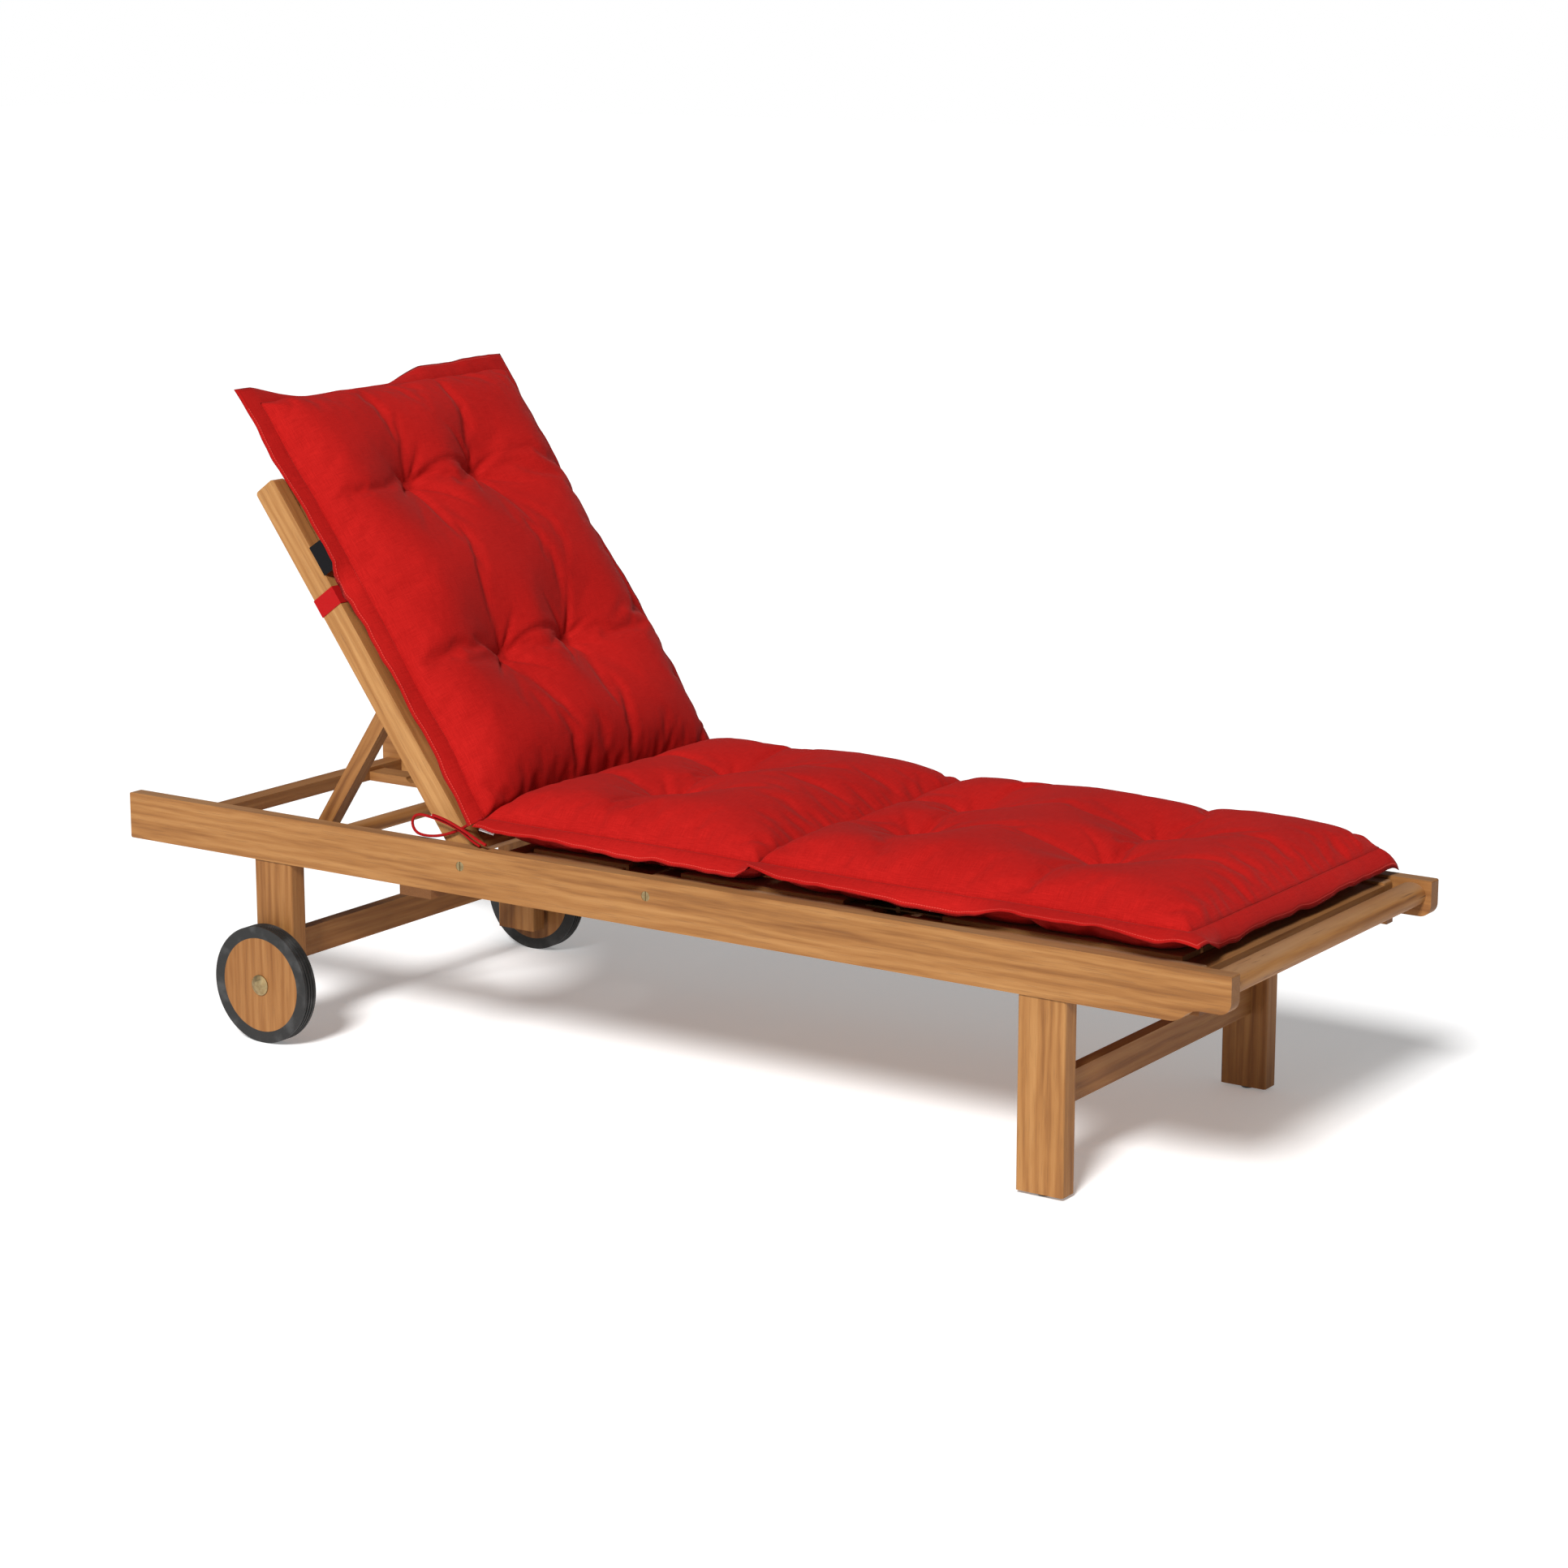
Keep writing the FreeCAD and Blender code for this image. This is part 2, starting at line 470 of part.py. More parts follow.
# Pivot bolts with washers between rail and stile.
PIVOTS = (("back", "back_x", "back_pivot_up"), ("knee", "knee_x", "knee_pivot_up"))
for pivot, x, z in PIVOTS:
    node(f"{pivot}_bolts", group(f"{pivot}_bolts", *[bolt(f"{pivot}_bolt_{side}", x, z, side) for side in SIDES]))
washers = []
for pivot, x, z in PIVOTS:
    for side in SIDES:
        name = f"{pivot}_washer_{side}"
        span = sides("stile_outer + face_clearance", "rail_inner")[side]
        hole = sides("stile_outer - 1", "rail_inner + 1")[side]
        washers.append(cut(name, rod(name + "_disc", x, span, z, "washer_radius"),
                           rod(name + "_hole", x, hole, z, "bolt_radius")))
node("pivot_washers", group("pivot_washers", *washers))

# The prop: two legs on pins in the backrest's stiles, and the round bar that drops into the rack.
prop_pins = []
for side in SIDES:
    name = f"prop_leg_{side}"
    across = sides("prop_inner", "prop_outer")[side]
    bar = box(name + "_bar", ("-prop_length", "0"), across, ("-prop_width / 2", "prop_width / 2"))
    ends = [rod(f"{name}_end_{number}", x, across, "0", "prop_width / 2")
            for number, x in enumerate(("-prop_length", "0"))]
    hole = rod(name + "_hole", "0", sides("prop_inner - 1", "prop_outer + 1")[side], "0",
               "prop_pin_radius + pin_clearance")
    on_prop(name, cut(name + "_whole", fuse(name + "_solid", bar, *ends), hole))
    pin = rod(name + "_pin", "-prop_along", sides("prop_inner - face_clearance",
                                                  "stile_outer - prop_pin_inset")[side],
              "-prop_offset", "prop_pin_radius")
    cap = rod(name + "_cap", "-prop_along",
              sides("prop_inner - face_clearance - prop_head_thick", "prop_inner - face_clearance")[side],
              "-prop_offset", "prop_head_radius")
    prop_pins.append(fuse(f"prop_pin_{side}", pin, cap))
on_back("prop_pins", *prop_pins)
on_prop("prop_foot_bar", rod("prop_foot_dowel", "-prop_length", ("-prop_inner", "prop_inner"), "0",
                             "prop_width / 2"))

# Wheels: a wooden disc in a grooved rubber tyre with a brass cap, each turning on its own axle.
for side in SIDES:
    face = sides("wheel_face", "wheel_face + wheel_width")[side]
    past = sides("wheel_face - 1", "wheel_face + wheel_width + 1")[side]
    disc = rod(f"disc_{side}", "wheel_x", face, "wheel_radius", "disc_radius")
    bore_end = sides("wheel_face - 1", "wheel_face + wheel_width - axle_end_gap + 1")[side]
    bore = rod(f"disc_bore_{side}", "wheel_x", bore_end, "wheel_radius", "axle_radius + axle_clearance")
    node(f"wheel_disc_{side}", cut(f"wheel_disc_{side}", disc, bore))

    ring = rod(f"tyre_ring_{side}", "wheel_x", face, "wheel_radius", "wheel_radius")
    hollow = rod(f"tyre_hollow_{side}", "wheel_x", past, "wheel_radius", "disc_radius")
    grooves = []
    for number in (-1, 0, 1):
        middle = f"wheel_face + wheel_width / 2 + {number} * groove_pitch"
        span = sides(f"{middle} - groove_width / 2", f"{middle} + groove_width / 2")[side]
        outer = rod(f"groove_outer_{side}_{number + 1}", "wheel_x", span, "wheel_radius", "wheel_radius + 1")
        inner = rod(f"groove_inner_{side}_{number + 1}", "wheel_x", span, "wheel_radius",
                    "wheel_radius - groove_depth")
        grooves.append(cut(f"groove_{side}_{number + 1}", outer, inner))
    node(f"tyre_{side}", cut(f"tyre_{side}", ring, hollow, *grooves))

    shaft_end = "wheel_face + wheel_width - axle_end_gap"
    shaft = rod(f"axle_shaft_{side}", "wheel_x", sides("leg_inner", shaft_end)[side], "wheel_radius",
                "axle_radius")
    spacer = rod(f"axle_spacer_{side}", "wheel_x", sides("leg_outer", "wheel_face - face_clearance")[side],
                 "wheel_radius", "spacer_radius")
    node(f"axle_{side}", fuse(f"axle_{side}", shaft, spacer))

    rim = rod(f"hub_rim_{side}", "wheel_x",
              sides("wheel_face + wheel_width", "wheel_face + wheel_width + hub_rim")[side],
              "wheel_radius", "hub_radius")
    crown = doc.addObject("Part::Cone", f"hub_crown_{side}")
    bind(crown, Radius1="hub_radius", Radius2="hub_radius * 0.45", Height="hub_dome")
    crown.Placement.Rotation = FreeCAD.Rotation(FreeCAD.Vector(1, 0, 0), 90 if side == "near" else -90)
    sign = "-" if side == "near" else ""
    place(crown, "wheel_x", f"{sign}(wheel_face + wheel_width + hub_rim)", "wheel_radius")
    node(f"hub_cap_{side}", fuse(f"hub_cap_{side}", rim, crown))


# The cushion's four pads: plain blocks with eased edges, leaning away from each other at the folds.
def pad(label, x, top_x, z):
    piece = doc.addObject("Part::Wedge", label)
    bind(piece, Xmin=x[0], Xmax=x[1], X2min=top_x[0], X2max=top_x[1], Ymin="0", Ymax=f"({z[1]}) - ({z[0]})",
         Zmin="-pad_half_width", Zmax="pad_half_width", Z2min="-pad_half_width", Z2max="pad_half_width")
    piece.Placement.Rotation = FreeCAD.Rotation(FreeCAD.Vector(1, 0, 0), 90)
    place(piece, "0", "0", z[0])
    return rounded(label + "_eased", piece, "pad_round", lambda edge: True)


back_pad_z = ("stile_height / 2 + slat_rise + pad_gap", "stile_height / 2 + slat_rise + pad_gap + pad_thick")
back_pad_x = ("-back_pad_end", "-back_pad_start")
on_back("cushion_back", pad("cushion_back_block", back_pad_x, back_pad_x, back_pad_z))
deck_pad_z = ("deck_top + pad_gap", "deck_top + pad_gap + pad_thick")
PADS = (("seat", "seat_pad_start", "seat_pad_end", "seat_pad_lean"),
        ("thigh", "thigh_pad_start", "thigh_pad_end", "thigh_pad_lean"),
        ("calf", "calf_pad_start", "calf_pad_end", "0"))
for name, start, end, lean in PADS:
    ends = (f"head_end + {start}", f"head_end + {end}")
    whole = pad(f"cushion_{name}_block", ends, (f"{ends[0]} + {lean}", ends[1]), deck_pad_z)
    node(f"cushion_{name}", whole)

loops = []
for side in SIDES:
    band_x = ("-loop_at - loop_width", "-loop_at")
    outer = box(f"loop_outer_{side}", band_x,
                sides("stile_inner - loop_thick", "stile_outer + loop_thick")[side],
                ("-stile_height / 2 - loop_thick", "stile_height / 2 + loop_thick"))
    inner = box(f"loop_inner_{side}", ("-loop_at - loop_width - 1", "-loop_at + 1"),
                sides("stile_inner", "stile_outer")[side], stile_span)
    loops.append(cut(f"loop_{side}", outer, inner))
on_back("elastic_loops", *loops)

# Tie cords: each side has two short cords in a bow that lies against the rail, beside the backrest's stile.
# Points are distance from the head end, distance out from the middle, and height.
TIE_LONG = [(714, 305, 409), (694, 305, 400), (672, 306, 386), (646, 308, 375), (622, 310.5, 369.5),
            (600, 312.5, 369), (588, 314, 374), (583, 315, 386), (588, 316, 398), (600, 317, 403),
            (621, 318, 402), (643, 318, 398.5), (664, 317, 393), (684, 316, 385), (700, 316, 374),
            (718, 317, 367.5)]
TIE_SHORT = [(632, 324, 407), (652, 324, 404), (674, 324, 397), (696, 324, 389), (716, 324, 380),
             (735, 324, 373)]


def tie(name, points, side):
    """A cord of straight runs and tangent arcs; it prints its radii and compares its volume."""
    sign = -1 if side == "near" else 1
    route = [FreeCAD.Vector(size("head_end") + x, sign * y, z) for x, y, z in points]
    edges, radii, start, length = [], [], route[0], 0.0
    for before, here, after in zip(route, route[1:], route[2:]):
        back, ahead = before - here, after - here
        shorter = min(back.Length, ahead.Length)
        turn = math.pi - back.getAngle(ahead)
        trim = 0.45 * shorter
        radii.append(trim / math.tan(turn / 2))
        into, out = here + back.normalize() * trim, here + ahead.normalize() * trim
        towards = (back + ahead).normalize()
        reach = math.hypot(trim, radii[-1]) - radii[-1]
        edges.append(Part.LineSegment(start, into).toShape())
        edges.append(Part.Arc(into, here + towards * reach, out).toShape())
        start = out
    edges.append(Part.LineSegment(start, route[-1]).toShape())
    path = Part.Wire(edges)
    half = size("tie_diameter") / 2
    ring = Part.Wire(Part.Circle(route[0], route[1] - route[0], half).toShape())
    piece = doc.addObject("Part::Feature", name)
    piece.Shape = path.makePipeShell([ring], True, False)
    length = sum(edge.Length for edge in edges)
    print(f"{name}: length {length:.1f}, radii {', '.join(f'{radius:.0f}' for radius in radii)},"
          f" volume {piece.Shape.Volume:.1f} of {math.pi * half * half * length:.1f}")
    return node(name, piece)


for side in SIDES:
    tie(f"tie_long_{side}", TIE_LONG, side)
    tie(f"tie_short_{side}", TIE_SHORT, side)

doc.recompute()

faults = []
for piece in doc.Objects:
    if {"Invalid", "Error"} & set(piece.State):
        faults.append(f"{piece.Label}: {piece.State}")
    shape = getattr(piece, "Shape", None)
    if shape is not None and (shape.isNull() or not shape.isValid()):
        faults.append(f"{piece.Label}: no valid shape")
if faults:
    raise RuntimeError("; ".join(faults))
for piece in nodes:
    piece.Shape.exportStep(f"parts/{piece.Label}.step")
print(f"{len(nodes)} nodes; foot of the prop at {size('foot_x'):.1f}, {size('foot_z'):.1f};"
      f" rack top {size('rack_top'):.1f}; deck top {size('deck_top'):.1f}")
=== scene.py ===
import math
import bmesh
import bpy
import numpy as np
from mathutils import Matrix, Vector, noise


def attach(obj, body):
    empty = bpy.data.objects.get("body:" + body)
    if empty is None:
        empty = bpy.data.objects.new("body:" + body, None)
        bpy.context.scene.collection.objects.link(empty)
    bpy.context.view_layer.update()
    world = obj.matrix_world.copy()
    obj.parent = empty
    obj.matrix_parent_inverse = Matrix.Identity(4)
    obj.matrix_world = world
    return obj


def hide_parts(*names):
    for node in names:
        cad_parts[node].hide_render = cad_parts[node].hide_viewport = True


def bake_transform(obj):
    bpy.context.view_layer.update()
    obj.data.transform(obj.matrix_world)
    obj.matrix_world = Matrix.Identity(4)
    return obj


# A teak sun lounger with a tufted red cushion. Sizes are in metres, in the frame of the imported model:
# X from the head end to the foot end, Y from the near side to the far side, Z up from the ground.

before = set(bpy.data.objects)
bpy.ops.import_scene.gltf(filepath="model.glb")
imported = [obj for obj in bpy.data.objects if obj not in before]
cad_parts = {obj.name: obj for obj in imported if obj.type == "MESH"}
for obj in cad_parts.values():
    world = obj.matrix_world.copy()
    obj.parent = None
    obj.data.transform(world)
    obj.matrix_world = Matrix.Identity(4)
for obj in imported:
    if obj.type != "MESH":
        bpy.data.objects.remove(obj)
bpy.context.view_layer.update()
scene = bpy.context.scene

# Camera
CAMERA_AT = (3.163333, -4.573081, 1.673674)
CAMERA_TURN = math.radians(124.159)
CAMERA_DIP = math.radians(12.493)
CAMERA_LENS = 84.87
SENSOR_WIDTH = 36


def make_camera():
    data = bpy.data.cameras.new("camera")
    data.sensor_width = SENSOR_WIDTH
    data.lens = CAMERA_LENS
    camera = bpy.data.objects.new("camera", data)
    scene.collection.objects.link(camera)
    level = math.cos(CAMERA_DIP)
    way = Vector((level * math.cos(CAMERA_TURN), level * math.sin(CAMERA_TURN), -math.sin(CAMERA_DIP)))
    camera.location = CAMERA_AT
    camera.rotation_euler = way.to_track_quat("-Z", "Y").to_euler()
    scene.camera = camera


make_camera()
scene.view_settings.view_transform = "Standard"

# Tie cords at the hip, from the cushion's corner round into a bow, and the short tail across it. Each list
# is for the far side; the near side mirrors it.
CORD_DIAMETER = 0.0045
TIE_LONG = [(-0.286, 0.305, 0.409), (-0.306, 0.305, 0.4), (-0.328, 0.306, 0.386), (-0.354, 0.308, 0.375),
            (-0.378, 0.3105, 0.3695), (-0.4, 0.3125, 0.369), (-0.412, 0.314, 0.374), (-0.417, 0.315, 0.386),
            (-0.412, 0.316, 0.398), (-0.4, 0.317, 0.403), (-0.379, 0.318, 0.402), (-0.357, 0.318, 0.3985),
            (-0.336, 0.317, 0.393), (-0.316, 0.316, 0.385), (-0.3, 0.316, 0.374), (-0.282, 0.317, 0.3675)]
TIE_SHORT = [(-0.368, 0.324, 0.407), (-0.348, 0.324, 0.404), (-0.326, 0.324, 0.397), (-0.304, 0.324, 0.389),
             (-0.284, 0.324, 0.38), (-0.265, 0.324, 0.373)]


def tie_cord(kind, side, points):
    """A limp braided cord along a smooth curve through its route."""
    across = -1 if side == "near" else 1
    curve = bpy.data.curves.new(f"{kind}_cord_{side}", "CURVE")
    curve.dimensions = "3D"
    curve.bevel_depth = 1
    curve.bevel_resolution = 4
    curve.use_fill_caps = True
    spline = curve.splines.new("NURBS")
    spline.points.add(len(points) - 1)
    for point, (x, y, z) in zip(spline.points, points):
        point.co = (x, across * y, z, 1)
        point.radius = CORD_DIAMETER / 2
    spline.order_u = 3
    spline.use_endpoint_u = True
    spline.resolution_u = 10
    cord = bpy.data.objects.new(f"{kind}_cord_{side}", curve)
    scene.collection.objects.link(cord)
    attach(cord, "frame")
    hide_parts(f"{kind}_{side}")
    x, y, z = points[0]
    return cord


cords = []
for side in ("near", "far"):
    cords.append(tie_cord("tie_long", side, TIE_LONG))
    cords.append(tie_cord("tie_short", side, TIE_SHORT))


# Finishes
class Finish:
    """A material whose colour, roughness and relief come from nodes on Object or UV coordinates."""

    def __init__(self, name, **constants):
        self.material = bpy.data.materials.new(name)
        self.material.use_nodes = True
        tree = self.material.node_tree
        self.nodes = tree.nodes
        self.links = tree.links
        self.shader = tree.nodes["Principled BSDF"]
        self.coordinates = tree.nodes.new("ShaderNodeTexCoord")
        self.set(self.shader, constants)

    def set_socket(self, socket, value):
        if isinstance(value, bpy.types.NodeSocket):
            self.links.new(value, socket)
        else:
            socket.default_value = value

    def set(self, node, values):
        """Sets inputs by name, or by number where the name starts with an underscore."""
        for name, value in values.items():
            key = int(name[1:]) if name[0] == "_" else name.replace("_", " ")
            self.set_socket(node.inputs[key], value)

    def add(self, kind, settings=None, **values):
        """Adds a node and returns its first output."""
        node = self.nodes.new("ShaderNode" + kind)
        for name, value in (settings or {}).items():
            setattr(node, name, value)
        self.set(node, values)
        return node.outputs[0]

    def math(self, operation, *values):
        inputs = {f"_{number}": value for number, value in enumerate(values)}
        return self.add("Math", {"operation": operation}, **inputs)

    def stretched(self, vector, stretch):
        return self.add("VectorMath", {"operation": "MULTIPLY"}, _0=vector, _1=stretch)

    def noise(self, vector, scale=1.0, detail=3.0, rough=0.5, distortion=0.0):
        return self.add("TexNoise", Vector=vector, Scale=scale, Detail=detail, Roughness=rough,
                        Distortion=distortion)

    def between(self, value, low, high):
        """0 below low, 1 above high, smooth between them."""
        return self.add("MapRange", {"interpolation_type": "SMOOTHSTEP"}, Value=value, From_Min=low,
                        From_Max=high)

    def blend(self, factor, first, second):
        node = self.nodes.new("ShaderNodeMix")
        node.data_type = "RGBA"
        colours = [s for s in node.inputs if s.type == "RGBA"]
        self.set_socket(node.inputs[0], factor)
        self.set_socket(colours[0], first)
        self.set_socket(colours[1], second)
        return [s for s in node.outputs if s.type == "RGBA"][0]

    def relief(self, height, depth, strength):
        return self.add("Bump", Height=height, Distance=depth, Strength=strength)


def rgb(red, green, blue):
    return (red, green, blue, 1.0)


def scaled(colour, share):
    return rgb(*[min(1, part * share) for part in colour])


BACK_TILT = math.radians(54)
PROP_TILT = math.radians(56.3)
# How each grain direction turns onto the pattern's own X axis, and the direction itself.
GRAINS = {
    "long": ((0, 0, 0), (1, 0, 0)),
    "cross": ((0, 0, -math.pi / 2), (0, 1, 0)),
    "upright": ((0, math.pi / 2, 0), (0, 0, 1)),
    "back": ((0, math.pi - BACK_TILT, 0), (-math.cos(BACK_TILT), 0, math.sin(BACK_TILT))),
    "prop": ((0, PROP_TILT, 0), (math.cos(PROP_TILT), 0, math.sin(PROP_TILT))),
}


def teak(name, grain, seed, tone, top_sheen_share, cracks=0.0):
    """Oiled teak: broad figure, growth lines, knots, fine streaks and pores along the grain, darker end grain
    and upper faces made paler and greyer in patches by a painted sky reflection. Darker pieces are redder, too,
    as painted shade."""
    # shade() darkens and reddens a colour as tone drops: painted shade, like the bounced light in shadow.
    def shade(red, green, blue):
        return rgb(red * tone, 0.97 * green * tone ** 1.35, 0.88 * blue * tone ** 1.75)

    turn, way = GRAINS[grain]
    f = Finish(name, Roughness=0.6)
    f.shader.inputs["Specular IOR Level"].default_value = 0.32
    board = f.add("Mapping", Vector=f.coordinates.outputs["Object"], Rotation=turn,
                  Location=(seed * 1.37, seed * 0.61, seed * 0.43))
    figure = f.noise(f.stretched(board, (1.1, 14, 14)), detail=4, distortion=0.7)
    lines = f.add("TexWave", {"wave_type": "BANDS", "bands_direction": "Z"},
                  Vector=f.stretched(board, (0.16, 0.8, 1)), Scale=17, Distortion=7.5, Detail=3,
                  Detail_Scale=1.6, Detail_Roughness=0.55)
    streaks = f.noise(f.stretched(board, (5, 210, 210)), detail=4, rough=0.6)
    pores = f.noise(f.stretched(board, (22, 900, 900)), detail=1)
    patches = f.noise(f.stretched(board, (2.5, 6, 6)), detail=2)
    bands = f.noise(f.stretched(board, (2.6, 75, 75)), detail=5, rough=0.6, distortion=0.5)
    body = f.math("ADD", f.math("MULTIPLY", figure, 0.46), f.math("MULTIPLY", lines, 0.1))
    body = f.math("ADD", body, f.math("MULTIPLY", bands, 0.32))
    body = f.math("ADD", body, f.math("MULTIPLY", streaks, 0.24))
    knots = f.add("TexVoronoi", Vector=f.stretched(board, (3.1, 9, 9)), Scale=1.0)
    knot = f.between(knots, 0.11, 0.03)
    body = f.math("SUBTRACT", body, f.math("MULTIPLY", knot, 0.3))
    ramp = f.nodes.new("ShaderNodeValToRGB")
    f.links.new(body, ramp.inputs[0])
    dark, light = ramp.color_ramp.elements
    dark.position = 0.39
    dark.color = shade(0.19, 0.072, 0.018)
    light.position = 0.73
    light.color = shade(0.44, 0.228, 0.084)
    middle = ramp.color_ramp.elements.new(0.55)
    middle.color = shade(0.328, 0.149, 0.045)
    colour = ramp.outputs[0]
    dashes = f.between(pores, 0.62, 0.72)
    colour = f.blend(f.math("MULTIPLY", dashes, 0.4), colour, rgb(0.2, 0.09, 0.03))
    normal = f.coordinates.outputs["Normal"]
    upward = f.nodes.new("ShaderNodeSeparateXYZ")
    f.links.new(normal, upward.inputs[0])
    # Painted sky reflection: faces that look upward turn paler and greyer, in patches.
    facing_sky = f.between(upward.outputs["Z"], 0.55, 0.95)
    painted_top_sheen = f.math("MULTIPLY", facing_sky, f.between(patches, 0.2, 0.75))
    colour = f.blend(f.math("MULTIPLY", painted_top_sheen, top_sheen_share), colour, shade(0.36, 0.225, 0.14))
    across_grain = f.nodes.new("ShaderNodeVectorMath")
    across_grain.operation = "DOT_PRODUCT"
    f.set(across_grain, {"_0": normal, "_1": way})
    end = f.between(f.math("ABSOLUTE", across_grain.outputs["Value"]), 0.75, 0.95)
    pith = f.noise(f.stretched(board, (300, 500, 500)), detail=2)
    end_colour = f.blend(pith, shade(0.15, 0.06, 0.017), shade(0.29, 0.135, 0.042))
    colour = f.blend(f.math("MULTIPLY", end, 0.85), colour, end_colour)
    height = f.math("ADD", f.math("MULTIPLY", streaks, 0.6), f.math("MULTIPLY", dashes, -0.5))
    if cracks:
        splits = f.noise(f.stretched(board, (9, 330, 330)), detail=2, rough=0.4)
        split = f.between(splits, 0.66, 0.7)
        split = f.math("MULTIPLY", split, f.between(patches, 0.5, 0.6))
        colour = f.blend(f.math("MULTIPLY", split, cracks), colour, rgb(0.09, 0.04, 0.018))
        height = f.math("SUBTRACT", height, f.math("MULTIPLY", split, 2.0))
    f.links.new(colour, f.shader.inputs["Base Color"])
    f.links.new(f.math("MULTIPLY_ADD", streaks, -0.2, 0.72), f.shader.inputs["Roughness"])
    f.links.new(f.relief(height, 0.0005, 0.7), f.shader.inputs["Normal"])
    return f.material


WEAVE_PITCH = 0.0011
STITCH_PITCH = 0.0042
STITCH_SHARE = 0.68
STITCH_ROWS = (0.0035, 0.0275)
STITCH_HALF = 0.00045
GROOVE_HALF = 0.0026


def canvas(name, red, flange=False):
    """Woven canvas on the cloth's own UV map, which is in metres, with stitching along a flange's two edges and
    painted shade in the sunk grooves beside the stitches.
    """
    f = Finish(name, Roughness=0.88, Sheen_Weight=0.05, Sheen_Roughness=0.4)
    f.shader.inputs["Specular IOR Level"].default_value = 0.12
    f.shader.inputs["Sheen Tint"].default_value = rgb(1.0, 0.45, 0.4)
    flat = f.coordinates.outputs["UV"]
    warp = f.noise(f.stretched(flat, (45, 1300, 1)), detail=2, rough=0.65)
    weft = f.noise(f.stretched(flat, (1300, 45, 1)), detail=2, rough=0.65)
    threads = f.math("MULTIPLY", f.math("ADD", warp, weft), 0.5)
    clouds = f.noise(f.stretched(flat, (5, 5, 1)), detail=3)
    shading = f.math("ADD", f.math("MULTIPLY", threads, 0.8), f.math("MULTIPLY", clouds, 0.2))
    tone = f.between(shading, 0.38, 0.62)
    dark = rgb(red[0] * 0.84, red[1] * 0.7, red[2] * 0.7)
    light = rgb(min(1, red[0] * 1.12), red[1] * 1.5, red[2] * 1.5)
    colour = f.blend(tone, dark, light)
    grid = f.nodes.new("ShaderNodeSeparateXYZ")
    f.links.new(flat, grid.inputs[0])
    height = threads
    for axis in ("X", "Y"):
        ribs = f.math("SINE", f.math("MULTIPLY", grid.outputs[axis], 2 * math.pi / WEAVE_PITCH))
        height = f.math("MULTIPLY_ADD", ribs, 0.16, height)
    if flange:
        along = f.math("FRACT", f.math("DIVIDE", grid.outputs["X"], STITCH_PITCH))
        dash = f.math("LESS_THAN", along, STITCH_SHARE)
        for row in STITCH_ROWS:
            off = f.math("ABSOLUTE", f.math("SUBTRACT", grid.outputs["Y"], row))
            line = f.math("LESS_THAN", off, STITCH_HALF)
            stitch = f.math("MULTIPLY", line, dash)
            groove = f.between(off, GROOVE_HALF, 0.0)
            # Painted shade: the cloth darkens in the sunk groove beside each stitch row.
            colour = f.blend(f.math("MULTIPLY", groove, 0.35), colour, dark)
            colour = f.blend(f.math("MULTIPLY", stitch, 0.8), colour, rgb(0.6, 0.06, 0.045))
            height = f.math("MULTIPLY_ADD", groove, -2.2, height)
            height = f.math("MULTIPLY_ADD", stitch, 2.0, height)
    f.links.new(colour, f.shader.inputs["Base Color"])
    f.links.new(f.relief(height, 0.0004, 0.6), f.shader.inputs["Normal"])
    return f.material


def webbing(name, colour, scale):
    """Ribbed elastic and braided cord."""
    f = Finish(name, Roughness=0.8)
    f.shader.inputs["Specular IOR Level"].default_value = 0.15
    place = f.coordinates.outputs["Object"]
    ribs = f.add("TexWave", {"wave_type": "BANDS", "bands_direction": "DIAGONAL"}, Vector=place, Scale=scale,
                 Distortion=0.6, Detail=1.0)
    fluff = f.noise(place, scale=900, detail=2)
    shade = f.blend(ribs, scaled(colour, 0.6), scaled(colour, 1.15))
    f.links.new(f.blend(f.math("MULTIPLY", fluff, 0.3), shade, rgb(*colour)), f.shader.inputs["Base Color"])
    f.links.new(f.relief(f.math("ADD", ribs, fluff), 0.0003, 0.7), f.shader.inputs["Normal"])
    return f.material


def plain_cloth_label(name, colour):
    """Fine blank ribbon."""
    f = Finish(name, Roughness=0.8)
    f.shader.inputs["Specular IOR Level"].default_value = 0.12
    place = f.coordinates.outputs["Object"]
    weave = f.noise(f.stretched(place, (900, 900, 2500)), detail=2)
    f.links.new(f.blend(weave, scaled(colour, 0.75), scaled(colour, 1.2)), f.shader.inputs["Base Color"])
    f.links.new(f.relief(weave, 0.0002, 0.5), f.shader.inputs["Normal"])
    return f.material


def metal(name, colour, rough, tarnish):
    """Brass or steel with a brushed face and dull patches."""
    f = Finish(name, Metallic=1.0, Roughness=rough)
    place = f.coordinates.outputs["Object"]
    patches = f.noise(place, scale=160, detail=4)
    scratches = f.noise(f.stretched(place, (2600, 300, 2600)), detail=2)
    worn = f.between(patches, 0.35, 0.7)
    colour = f.blend(f.math("MULTIPLY", worn, 0.75), rgb(*colour), rgb(*tarnish))
    f.links.new(colour, f.shader.inputs["Base Color"])
    f.links.new(f.math("MULTIPLY_ADD", worn, 0.25, rough), f.shader.inputs["Roughness"])
    f.links.new(f.relief(scratches, 0.0001, 0.4), f.shader.inputs["Normal"])
    return f.material


